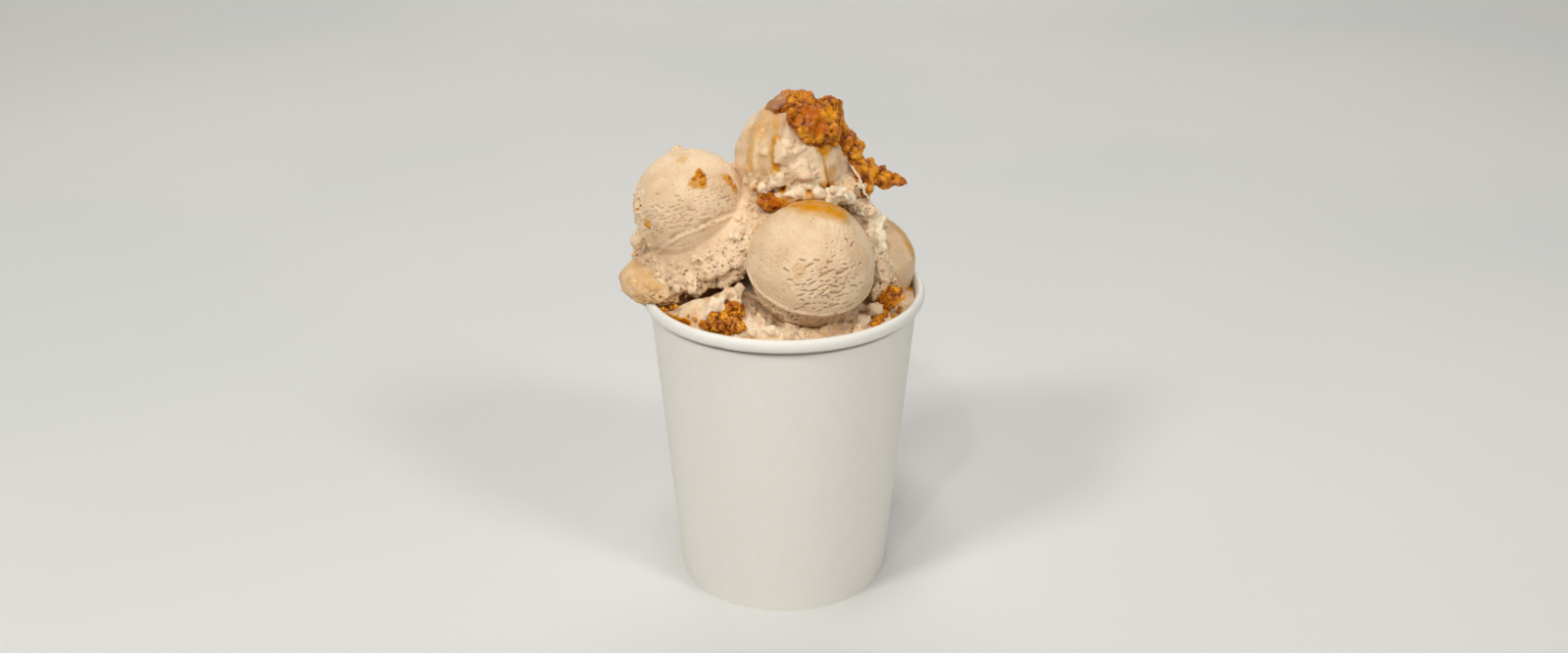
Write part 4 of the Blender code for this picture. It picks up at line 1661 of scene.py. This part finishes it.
RIGHT = Ball(
    "right_scoop", (35.0, 10.0, 136.8), 20.2, dome=(0.86, 0.22, 0.32), lip=66.0,
    collar=96.0, flare=3.5, foot=23.0, seed=31.0,
    runs=(HoneyRun((0.35, -0.1, 0.93), (0.86, -0.37, 0.35), 4.5, 1.0, 0.4),),
    swellings=(
        Swelling((-0.33, -0.32, 0.89), 7.0, 8.0),
        Swelling((-0.05, -0.2, 0.98), 6.0, 4.0),
        Swelling((0.06, -0.5, 0.87), 5.0, 3.4),
        Swelling((0.13, -0.76, 0.64), 4.5, 3.2),
        Swelling((0.2, -0.94, 0.29), 4.5, 3.0),
    ),
)
REAR = Ball(
    "rear_scoop", (-13.0, 31.0, 144.5), 24.0, dome=(-0.1, 0.45, 0.9), lip=100.0,
    collar=114.0, flare=4.0, foot=20.0, seed=47.0, widest=tuple(-FACING),
)
LOW = Ball(
    "low_scoop", (-46.0, -4.0, 135.5), 20.0, dome=(-0.7, -0.1, 0.7), lip=62.0,
    collar=140.0, flare=0.5, foot=26.0, seed=59.0, squash=(1.06, 1.0, 0.5),
)

BALLS = (
    GelatoBall(
        FRONT, voxel=0.36, hanging=0, pores=220,
        rings=(
            Ring(90.2, (0.1, -0.99, -0.1), 110.0, 0.55, 0.5),
            Ring(86.5, (-0.6, -0.8, -0.1), 50.0, 0.5, -0.3),
            Ring(83.5, (-0.5, -0.85, -0.1), 42.0, 0.4, -0.2),
            Ring(97.0, (0.1, -0.99, -0.1), 90.0, 0.5, -0.2),
        ),
        step=1.1,
        tears=(
            Tears(
                (0.34, -0.93, 0.0), (0.97, 0.3, 0.14), (14.5, 11.5), 340, (0.7, 4.4),
                depth=0.65, seed=41, painted_shade=0.75, apart=1.6,
            ),
            Tears(
                (0.5, -0.82, 0.25), (0.93, 0.4, 0.2), (9.0, 8.0), 30, (0.5, 2.2),
                depth=0.4, seed=44, painted_shade=0.5, apart=2.0,
            ),
            Tears(
                (-0.2, -0.93, 0.25), (0.97, -0.25, -0.1), (18.0, 16.0), 60, (0.4, 1.4),
                depth=0.25, seed=43, painted_shade=0.4,
            ),
        ),
        stains=(Stain((-0.19, -0.93, 0.32), 4.0, 0.16), Stain((-0.2, -0.95, 0.22), 2.0, 0.2)),
    ),
    GelatoBall(
        LEFT, voxel=0.42, hanging=200, ragged=1.35, pores=150,
        rubble=(
            Rubble((-0.93, -0.35, 0.05), 9.0, 34, 0.8),
            Rubble((-0.85, -0.45, -0.25), 8.0, 26, 0.9),
            Rubble((-0.9, -0.2, 0.35), 6.0, 12, 0.7),
            Rubble((-0.25, 0.2, 0.94), 3.0, 6, 0.8, 0.3),
        ),
        creases=(
            Crease(
                (
                    (-0.58, -0.55, -0.6), (-0.23, -0.96, -0.18), (0.27, -0.96, 0.04),
                    (0.66, -0.74, 0.13), (0.91, -0.39, 0.11),
                ),
                half_width=0.75, depth=0.95, ridge=0.45,
            ),
            Crease(
                (
                    (-0.44, -0.55, -0.71), (-0.13, -0.75, -0.66), (0.2, -0.85, -0.51),
                    (0.48, -0.83, -0.3), (0.71, -0.7, -0.09),
                ),
                half_width=0.9, depth=0.9, ridge=0.8, wavy=2.0,
            ),
            Crease(
                (
                    (-0.34, -0.52, -0.79), (0.0, -0.7, -0.72), (0.28, -0.77, -0.58),
                    (0.54, -0.76, -0.38),
                ),
                half_width=0.9, depth=1.3, ridge=1.0, wavy=2.5,
            ),
        ),
        crumbs=(
            Crumb((-59.2, -8.0, 153.0), 2.7, (1.0, 1.0, 1.2), 0.2),
            Crumb((-57.0, -7.0, 154.5), 2.6, (1.0, 1.0, 1.0), 0.2),
            Crumb((-29.0, -23.5, 145.0), 3.2, (1.2, 0.9, 0.8), 0.1),
            Crumb((-26.0, -24.5, 147.0), 3.4, (1.2, 0.9, 0.9), 0.1),
            Crumb((-23.0, -25.0, 148.8), 3.4, (1.2, 0.9, 0.9), 0.1),
            Crumb((-20.0, -25.0, 150.5), 3.4, (1.2, 0.9, 0.9), 0.1),
            Crumb((-17.0, -24.5, 152.5), 3.2, (1.0, 0.9, 1.1), 0.1),
            Crumb((-14.5, -24.0, 155.5), 2.8, (1.0, 0.9, 1.1), 0.1),
            Crumb((-27.0, -25.0, 142.0), 2.4, (1.5, 0.9, 0.6), 0.2),
            Crumb((-23.5, -26.0, 143.6), 2.6, (1.6, 0.9, 0.6), 0.2),
            Crumb((-20.0, -26.5, 145.8), 2.7, (1.5, 0.9, 0.7), 0.2),
            Crumb((-17.0, -26.5, 148.4), 2.6, (1.2, 0.9, 0.9), 0.2),
            Crumb((-24.5, -27.0, 146.0), 1.8, (1.8, 0.8, 0.6), 0.2),
            Crumb((-20.5, -27.5, 148.0), 1.8, (1.8, 0.8, 0.6), 0.2),
            Crumb((-15.0, -26.0, 151.5), 2.2, (1.0, 0.8, 1.2), 0.2),
        ),
        tears=(
            Tears(
                (-0.35, -0.92, 0.12), (0.93, -0.3, 0.25), (19.0, 8.0), 190, (0.8, 3.6),
                depth=0.45, seed=47, painted_shade=0.45,
            ),
            Tears(
                (0.45, -0.75, 0.45), (0.9, 0.2, 0.3), (11.0, 11.0), 70, (0.4, 1.8),
                depth=0.3, seed=53, painted_shade=0.4,
            ),
        ),
        stains=(
            Stain((0.2, -0.6, 0.76), 2.6, 0.75),
            Stain((0.12, -0.74, 0.66), 3.4, 0.5),
            Stain((0.26, -0.72, 0.64), 2.2, 0.7),
            Stain((-0.1, -0.3, 0.95), 3.0, 0.3),
            Stain((0.66, -0.4, 0.63), 3.6, 0.5),
            Stain((0.78, -0.42, 0.46), 3.0, 0.45),
            Stain((-0.71, -0.7, -0.05), 2.6, 0.4),
            Stain((-0.6, -0.74, -0.3), 2.0, 0.3),
        ),
    ),
    GelatoBall(
        TOP, voxel=0.42, hanging=110, ragged=1.0, pores=60, melt=1.0, grain=0.1,
        soften=6,
        stains=(
            Stain((0.08, -0.92, -0.4), 3.6, 0.8),
            Stain((0.2, -0.94, -0.22), 2.6, 0.6),
            Stain((0.3, -0.88, -0.36), 3.2, 0.7),
            Stain((0.46, -0.82, -0.34), 3.0, 0.6),
            Stain((0.58, -0.78, -0.2), 2.4, 0.5),
            Stain((-0.1, -0.93, -0.32), 2.4, 0.5),
            Stain((0.7, -0.66, -0.3), 2.6, 0.5),
            Stain((0.6, -0.78, 0.05), 3.0, 0.3),
            Stain((0.5, -0.74, 0.48), 4.0, 0.5),
            Stain((-0.55, -0.8, -0.2), 3.0, 0.35),
        ),
        creases=(
            Crease(
                (
                    (0.42, -0.78, 0.45), (0.47, -0.82, 0.2), (0.52, -0.8, -0.1),
                    (0.56, -0.73, -0.4),
                ),
                half_width=1.5, depth=1.3, ridge=0.5,
            ),
            Crease(
                (
                    (-0.4, -0.9, -0.1), (-0.1, -0.98, -0.16), (0.2, -0.96, -0.12),
                    (0.45, -0.87, -0.2), (0.72, -0.65, -0.18),
                ),
                half_width=1.0, depth=1.1, ridge=0.5,
            ),
        ),
        crumbs=(
            Crumb((5.9, -15.5, 176.6), 3.2, (1.2, 0.9, 0.9), 0.9),
            Crumb((1.5, -15.0, 177.5), 2.4, (1.0, 0.9, 1.0), 0.8),
            Crumb((9.8, -17.0, 175.6), 2.0, (1.3, 0.9, 0.8), 0.5),
            Crumb((13.2, -16.5, 176.9), 3.2, (1.15, 0.9, 0.9), 0.8),
            Crumb((21.3, -15.0, 175.8), 4.2, (1.2, 0.9, 0.8), 0.9),
            Crumb((19.5, -17.0, 178.5), 2.0, (1.4, 0.9, 0.8), 0.7),
            Crumb((9.0, -16.0, 179.6), 2.0, (1.5, 0.9, 0.7), 0.6),
            Crumb((25.5, -11.5, 173.0), 3.0, (1.0, 0.9, 1.1), 0.9),
            Crumb((17.5, -16.5, 174.8), 1.8, (1.0, 0.9, 1.0), 0.8),
            Crumb((-7.5, -14.0, 177.6), 2.6, (1.0, 0.9, 1.0), 0.7),
            Crumb((-12.0, -12.0, 178.0), 1.9, (1.2, 0.9, 1.0), 0.4),
            Crumb((-3.0, -15.5, 174.5), 2.2, (1.4, 0.9, 0.8), 0.5),
        ),
        tears=(
            Tears(
                (0.12, -0.98, -0.08), (0.95, 0.1, 0.1), (13.0, 6.0), 60, (0.6, 2.2),
                depth=0.5, seed=59, painted_shade=0.4,
            ),
        ),
        rubble=(
            Rubble((0.02, -0.95, 0.25), 11.0, 9, 3.2, 0.1),
            Rubble((0.0, -0.98, -0.12), 9.0, 16, 1.5, 0.4),
            Rubble((0.35, -0.9, -0.22), 8.0, 14, 1.7, 0.6),
            Rubble((-0.6, -0.75, -0.2), 8.0, 22, 1.1, 0.3),
        ),
        strands=(
            Strand(
                (
                    (25.0, -5.5, 186.5), (30.0, -6.0, 180.0), (32.4, -6.0, 173.2),
                    (35.0, -5.0, 169.6), (34.9, -5.0, 166.0),
                ),
                radius=0.6,
            ),
        ),
    ),
    GelatoBall(
        RIGHT, voxel=0.45, hanging=70, ragged=1.0, pores=110,
        crumbs=(
            Crumb((34.0, -3.5, 164.4), 4.5, (1.15, 0.9, 0.75), 1.0),
            Crumb((37.8, -4.0, 160.8), 3.9, (0.9, 0.9, 1.1), 1.0),
            Crumb((38.6, -8.0, 155.5), 3.0, (0.85, 0.9, 1.2), 1.0),
            Crumb((40.0, -9.5, 150.3), 2.6, (0.9, 0.9, 1.2), 0.9),
            Crumb((41.5, -11.5, 146.6), 2.0, (0.9, 0.9, 1.0), 0.8),
            Crumb((42.5, -12.0, 143.0), 2.2, (0.9, 0.9, 1.1), 1.0),
            Crumb((38.0, -14.5, 147.0), 3.8, (1.0, 0.8, 1.5), 0.2),
            Crumb((41.5, -13.5, 144.5), 3.0, (1.0, 0.8, 1.6), 0.2),
            Crumb((39.0, -17.5, 140.5), 4.2, (1.0, 0.8, 1.3), 0.1),
            Crumb((37.5, -20.0, 136.5), 3.6, (1.0, 0.8, 1.1), 0.1),
            Crumb((43.0, -13.0, 138.5), 3.0, (1.0, 0.8, 1.3), 0.1),
            Crumb((34.5, -11.5, 154.0), 3.2, (0.9, 0.8, 1.7), 0.3),
            Crumb((33.0, -1.5, 168.5), 2.4, (0.9, 0.9, 1.4), 0.5),
            Crumb((28.5, 1.0, 169.5), 4.6, (1.1, 1.0, 1.2), 0.1),
            Crumb((27.5, -6.0, 168.5), 2.6, (1.0, 0.9, 1.2), 0.2),
            Crumb((30.5, -4.0, 167.5), 2.6, (1.0, 0.9, 1.2), 0.2),
            Crumb((35.0, -5.5, 158.5), 2.4, (0.9, 0.9, 1.2), 0.6),
            Crumb((36.0, -11.0, 150.5), 2.4, (0.9, 0.9, 1.3), 0.3),
        ),
    ),
    GelatoBall(REAR, voxel=0.6, hanging=130, ragged=1.1, pores=260),
    GelatoBall(
        LOW, voxel=0.5, hanging=0, pores=60, melt=1.1, ragged=0.3, grain=0.3, wet=0.2,
        dents=(Swelling((0.62, -0.78, 0.0), 15.0, 9.0), Swelling((0.1, -0.75, -0.5), 6.0, 2.0)),
        rubble=(
            Rubble((0.05, -0.95, 0.2), 9.0, 40, 1.0),
            Rubble((-0.7, -0.7, -0.2), 9.0, 22, 0.9),
            Rubble((-0.45, -0.85, 0.3), 10.0, 40, 0.6),
        ),
    ),
)

BED = PackedGelato(
    crumbs=(
        Crumb((-26.8, -38.0, 137.2), 2.6, (1.0, 1.0, 1.2), 0.8),
        Crumb((-29.0, -39.0, 134.8), 2.0, (1.0, 1.0, 1.1), 0.6),
        Crumb((-24.5, -37.0, 139.4), 1.7, (1.0, 1.0, 1.0), 0.8),
        Crumb((-27.5, -36.0, 140.0), 1.5, (1.0, 1.0, 1.0), 0.7),
        Crumb((-23.0, -38.0, 136.0), 2.2, (1.0, 1.0, 1.2), 0.4),
        Crumb((-20.8, -33.0, 141.5), 3.0, (1.3, 0.9, 0.8), 0.2),
        Crumb((-17.0, -34.5, 143.5), 2.2, (0.9, 0.9, 1.3), 0.2),
        Crumb((-18.5, -36.0, 138.5), 2.6, (1.0, 0.9, 1.2), 0.2),
        Crumb((-9.0, -42.5, 130.8), 5.2, (1.6, 0.8, 0.7), 0.6),
        Crumb((0.0, -46.0, 129.8), 4.0, (1.7, 0.7, 0.6), 0.5),
        Crumb((-14.1, -46.0, 131.8), 4.2, (1.3, 0.8, 0.8), 0.7),
        Crumb((-9.3, -43.5, 134.4), 3.0, (1.3, 0.8, 0.7), 0.6),
        Crumb((-5.0, -48.5, 132.0), 3.2, (1.4, 0.8, 0.8), 0.6),
        Crumb((2.0, -50.5, 130.8), 2.6, (1.5, 0.8, 0.8), 0.3),
        Crumb((36.0, -30.0, 133.0), 3.4, (1.0, 1.0, 1.0), 0.2),
        Crumb((31.0, -37.0, 131.5), 3.0, (1.2, 1.0, 0.8), 0.3),
    ),
)

TOFFEES = (
    ToffeePiece(
        "toffee_crown", (10.5, -4.5, 203.0), (14.5, 12.0, 6.0), (42, 10, 12),
        tip=0.85, knob=2.6, seed=5.0,
        lobes=(
            Crumb((6.0, -0.5, 208.6), 3.6, (0.9, 0.9, 1.1)),
            Crumb((18.4, -1.0, 206.8), 3.3, (0.8, 0.9, 1.15)),
            Crumb((17.8, -4.0, 200.2), 4.0, (0.9, 0.9, 1.0)),
            Crumb((13.6, -10.5, 197.6), 2.8, (1.1, 0.8, 0.8)),
        ),
        bubble=0.75, sponge=0.05,
        chips=(((-0.72, -0.19, -0.67), 7.2), ((-1.0, -0.1, 0.1), 9.2)),
        notches=((14.2, -0.5, 210.5, 3.4), (4.0, -5.0, 208.5, 2.2)),
        glazed=((10.0, -7.0, 205.5, 5.2), (12.5, -9.0, 201.5, 5.0), (6.5, -8.5, 202.5, 4.2)),
    ),
    ToffeePiece(
        "toffee_crown_left", (0.5, 4.5, 206.0), (6.5, 6.0, 4.0), (10, -22, 20),
        tip=1.0, knob=1.2, seed=8.0,
        bubble=0.7, milky=((-3.5, 4.0, 208.0, 5.6),),
    ),
    ToffeePiece(
        "toffee_knob", (26.0, 0.0, 191.5), (6.2, 5.2, 4.8), (10, 35, 0),
        tip=0.8, knob=1.4, seed=13.0,
        lobes=(Crumb((22.4, -1.6, 194.6), 2.6, (1.0, 0.9, 0.9)),),
    ),
    ToffeePiece(
        "toffee_shard", (37.5, 4.0, 177.5), (13.5, 7.5, 3.0), (25, 16, -6),
        tip=0.35, knob=1.2, seed=17.0,
        lobes=(
            Crumb((33.0, 4.5, 181.6), 2.6, (1.3, 0.9, 0.7)),
            Crumb((39.5, 5.5, 179.6), 2.0, (1.4, 0.9, 0.7)),
        ),
        voxel=0.34, bubble=0.6, sponge=0.5,
    ),
    ToffeePiece(
        "toffee_strip", (31.0, -1.5, 179.0), (3.6, 4.2, 8.5), (0, -14, 0),
        tip=1.0, knob=1.0, seed=19.0,
        bubble=0.6,
    ),
    ToffeePiece(
        "toffee_crevice", (-5.0, -16.0, 173.0), (6.0, 4.5, 4.0), (20, 20, 20),
        tip=0.7, knob=1.2, seed=29.0,
        glazed=((-3.0, -20.0, 174.0, 2.5),),
    ),
    ToffeePiece(
        "toffee_front", (-22.8, -45.2, 133.8), (8.2, 4.6, 4.4), (20, -4, -24),
        tip=0.8, knob=1.3, seed=37.0,
        nugget=0.75, bubble=0.75, sponge=0.9,
    ),
    ToffeePiece(
        "toffee_front_back", (-19.0, -38.0, 136.6), (4.0, 3.4, 3.6), (0, 20, 10),
        tip=0.9, knob=0.9, seed=41.0,
        bubble=0.6, sponge=0.8,
    ),
    ToffeePiece(
        "toffee_right", (41.0, -24.2, 134.3), (3.2, 3.9, 9.4), (34, 32, 0),
        tip=1.0, knob=1.0, seed=43.0,
        bubble=0.7, sponge=0.8,
    ),
)


@dataclass
class ToffeeCrumbs:
    """Small bits of toffee that stick to the balls and lie along the rim.

    Attributes:
        seed: Makes the bits differ.
        on_balls: Ball, direction, spread, count and size of each group on a ball.
        on_bed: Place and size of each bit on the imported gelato.
    """

    seed: int = 5
    on_balls: tuple[tuple[Ball, Place, float, int, float], ...] = (
        (LEFT, (0.22, -0.58, 0.78), 1.3, 5, 1.25),
        (LEFT, (0.26, -0.68, 0.68), 1.0, 4, 1.1),
        (LEFT, (0.12, -0.68, 0.72), 1.2, 3, 0.7),
        (LEFT, (-0.71, -0.7, -0.05), 1.6, 5, 0.9),
        (LEFT, (-0.8, -0.55, 0.1), 2.6, 4, 0.6),
        (LEFT, (0.72, -0.42, 0.55), 2.2, 4, 0.8),
    )
    on_bed: tuple[Place, ...] = (
        (-48.0, -24.0, 1.1), (-46.5, -27.5, 1.2), (-44.0, -31.0, 0.9), (-42.0, -33.5, 1.0),
        (-37.0, -39.5, 0.7), (-34.5, -41.0, 1.0), (-31.5, -43.0, 1.5), (-30.0, -45.0, 1.2),
        (-50.0, -19.0, 0.9), (47.0, -20.0, 1.1), (46.0, -25.0, 1.2), (35.5, -38.0, 1.3),
        (36.5, -36.0, 1.9), (37.8, -33.8, 2.2), (38.0, -31.0, 2.3), (39.5, -29.5, 2.4),
        (48.0, 14.0, 1.3), (30.0, 42.0, 1.5), (-38.0, 34.0, 1.4), (14.0, 49.0, 1.1),
    )

    def bits(self, bed: PackedGelato) -> list[Crumb]:
        """Returns all bits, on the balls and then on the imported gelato."""
        rng = np.random.default_rng(self.seed)
        found = []
        for ball, toward, spread, count, size in self.on_balls:
            for _ in range(count):
                stray = rng.normal(0.0, 0.5 * spread / ball.radius, 3)
                place = ball.place(unit(np.array(toward) + stray))
                radius = size * rng.uniform(0.45, 1.0)
                found.append(Crumb(place, radius, tuple(rng.uniform(0.7, 1.3, 3))))
        for x, y, size in self.on_bed:
            z = bed.top(np.array([x]), np.array([y]))[0] + 0.6 * size
            found.append(Crumb((x, y, z), size, tuple(rng.uniform(0.7, 1.3, 3))))
        return found

    def build(self, bed: PackedGelato, finish: bpy.types.Material) -> bpy.types.Object:
        """Builds all small bits as one piece.

        Args:
            bed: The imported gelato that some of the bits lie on.
            finish: The toffee material.

        Returns:
            The finished object.
        """
        bm = bmesh.new()
        for number, bit in enumerate(self.bits(bed)):
            bit.put_into(bm, 3.1 * number)
        piece = new_piece("toffee_crumbs", bm)
        points = keep_off_cup(read_points(piece.data))
        write_points(piece.data, points)
        # Random tone fills the channels that carry painted crest light and pore shade on the
        # larger pieces.
        masks = {
            "crest_light_and_tone_mask": 0.45 + 0.8 * lumps(points, 1.3, 7.0),
            "pore_shade_and_tone_mask": 0.1 + 0.7 * lumps(points, 1.3, 3.0),
            "glaze_mask": np.full(len(points), 0.3),
            "milky_mask": np.zeros(len(points)),
        }
        write_masks(piece.data, masks)
        piece.data.materials.append(finish)
        return piece


@dataclass(frozen=True)
class Lamp:
    """One soft area lamp.

    Attributes:
        name: The lamp's name.
        at: Where it stands, in millimetres.
        toward: What it faces, in millimetres.
        size: The side of its square face in millimetres.
        power: Its power in watts.
        tone: Its colour.
    """

    name: str
    at: Place
    toward: Place
    size: float
    power: float
    tone: str = "#FFFEFC"

    def build(self) -> None:
        """Adds the lamp to the scene."""
        light = bpy.data.lights.new(self.name, "AREA")
        light.shape = "SQUARE"
        light.size = self.size * MM
        light.energy = self.power
        light.color = linear(self.tone)[:3]
        lamp = bpy.data.objects.new(self.name, light)
        lamp.location = (Vector(self.at) + Vector(AXIS)) * MM
        facing = Vector(self.toward) - Vector(self.at)
        lamp.rotation_euler = facing.to_track_quat("-Z", "Y").to_euler()
        bpy.context.scene.collection.objects.link(lamp)


@dataclass
class Studio:
    """The pale sweep, the soft lamps and the camera.

    Attributes:
        camera_at: Where the camera stands.
        camera_tilt: Its tilt from straight down, in degrees.
        lens: Its focal length in millimetres.
        half_width: Half the sweep's width.
        sweep_start: Where the sweep starts to rise.
        sweep_radius: The radius of its rise.
        wall_height: How high it goes.
        lamps: The lamps.
    """

    camera_at: Place = (0.2, -536.4, 357.4)
    camera_tilt: float = 65.42
    lens: float = 32.2
    half_width: float = 2600.0
    sweep_start: float = 1100.0
    sweep_radius: float = 700.0
    wall_height: float = 1800.0
    lamps: tuple[Lamp, ...] = (
        Lamp("left_softbox", (-1300, -1100, 1700), (0, 0, 120), 400, 17.5, "#FFFCF7"),
        Lamp("right_softbox", (1350, -1150, 1650), (0, 0, 120), 420, 13.0, "#FFFCF7"),
        Lamp("front_softbox", (-150, -1650, 1600), (0, 0, 120), 420, 9.0),
        Lamp("sparkle", (-380, -1150, 1500), (0, 0, 150), 80, 3.5),
        Lamp("top_softbox", (-200, -300, 2300), (0, 0, 120), 500, 11.0),
        Lamp("back_softbox", (0, 1500, 1900), (0, 1900, 0), 1500, 15.0),
    )

    def sweep(self) -> bpy.types.Object:
        """Returns the floor that curves up into a backdrop."""
        bm = bmesh.new()
        profile = [(-1600.0, 0.0), (self.sweep_start, 0.0)]
        for step in range(1, 13):
            angle = 0.5 * math.pi * step / 12.0
            y = self.sweep_start + self.sweep_radius * math.sin(angle)
            z = self.sweep_radius * (1.0 - math.cos(angle))
            profile.append((y, z))
        profile.append((profile[-1][0], self.wall_height))
        verts = [bm.verts.new((-self.half_width, y, z)) for y, z in profile]
        edges = [bm.edges.new(pair) for pair in zip(verts, verts[1:])]
        made = bmesh.ops.extrude_edge_only(bm, edges=edges)
        moved = [item for item in made["geom"] if isinstance(item, bmesh.types.BMVert)]
        bmesh.ops.translate(bm, verts=moved, vec=(2.0 * self.half_width, 0.0, 0.0))
        bmesh.ops.recalc_face_normals(bm, faces=bm.faces)
        floor = new_piece("studio_sweep", bm)
        floor.data.materials.append(SweepFinish().build())
        return floor

    def build(self) -> None:
        """Sets up the sweep, the lamps, the camera and the colour transform."""
        self.sweep()
        for lamp in self.lamps:
            lamp.build()
        world = bpy.data.worlds.new("studio_fill")
        bpy.context.scene.world = world
        world.use_nodes = True
        ground = world.node_tree.nodes["Background"]
        ground.inputs["Color"].default_value = linear("#EEF3FA")
        ground.inputs["Strength"].default_value = 0.13
        camera = bpy.data.objects.new("photo_camera", bpy.data.cameras.new("photo_camera"))
        camera.data.sensor_width = 36.0
        camera.data.lens = self.lens
        camera.data.clip_end = 20.0
        camera.location = (Vector(self.camera_at) + Vector(AXIS)) * MM
        camera.rotation_euler = (math.radians(self.camera_tilt), 0.0, 0.0)
        bpy.context.scene.collection.objects.link(camera)
        bpy.context.scene.camera = camera
        bpy.context.scene.view_settings.view_transform = "Standard"


def take_over(piece: bpy.types.Object, node: str | None) -> None:
    """Makes a piece ride on the cup and stand for its CAD node.

    Args:
        piece: The finished object.
        node: The CAD node that it replaces, or None.
    """
    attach(piece, BODY)
    if node:
        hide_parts(node)
    LOG.info("%s: %d faces", piece.name, len(piece.data.polygons))


def main() -> None:
    """Builds every piece in order, then the studio."""
    logging.basicConfig(level=logging.INFO, format="%(name)s %(message)s")
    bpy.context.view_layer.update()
    gelato = GelatoFinish().build()
    toffee = ToffeeFinish().build()
    take_over(PaperCup().build(), "paper_cup")
    take_over(BED.build(gelato), "gelato_bed")
    for dressed in BALLS:
        take_over(dressed.build(gelato), dressed.ball.name)
    for piece in TOFFEES:
        take_over(piece.build(toffee), piece.name)
    take_over(ToffeeCrumbs().build(BED, toffee), None)
    Studio().build()


if __name__ == "__main__":
    main()
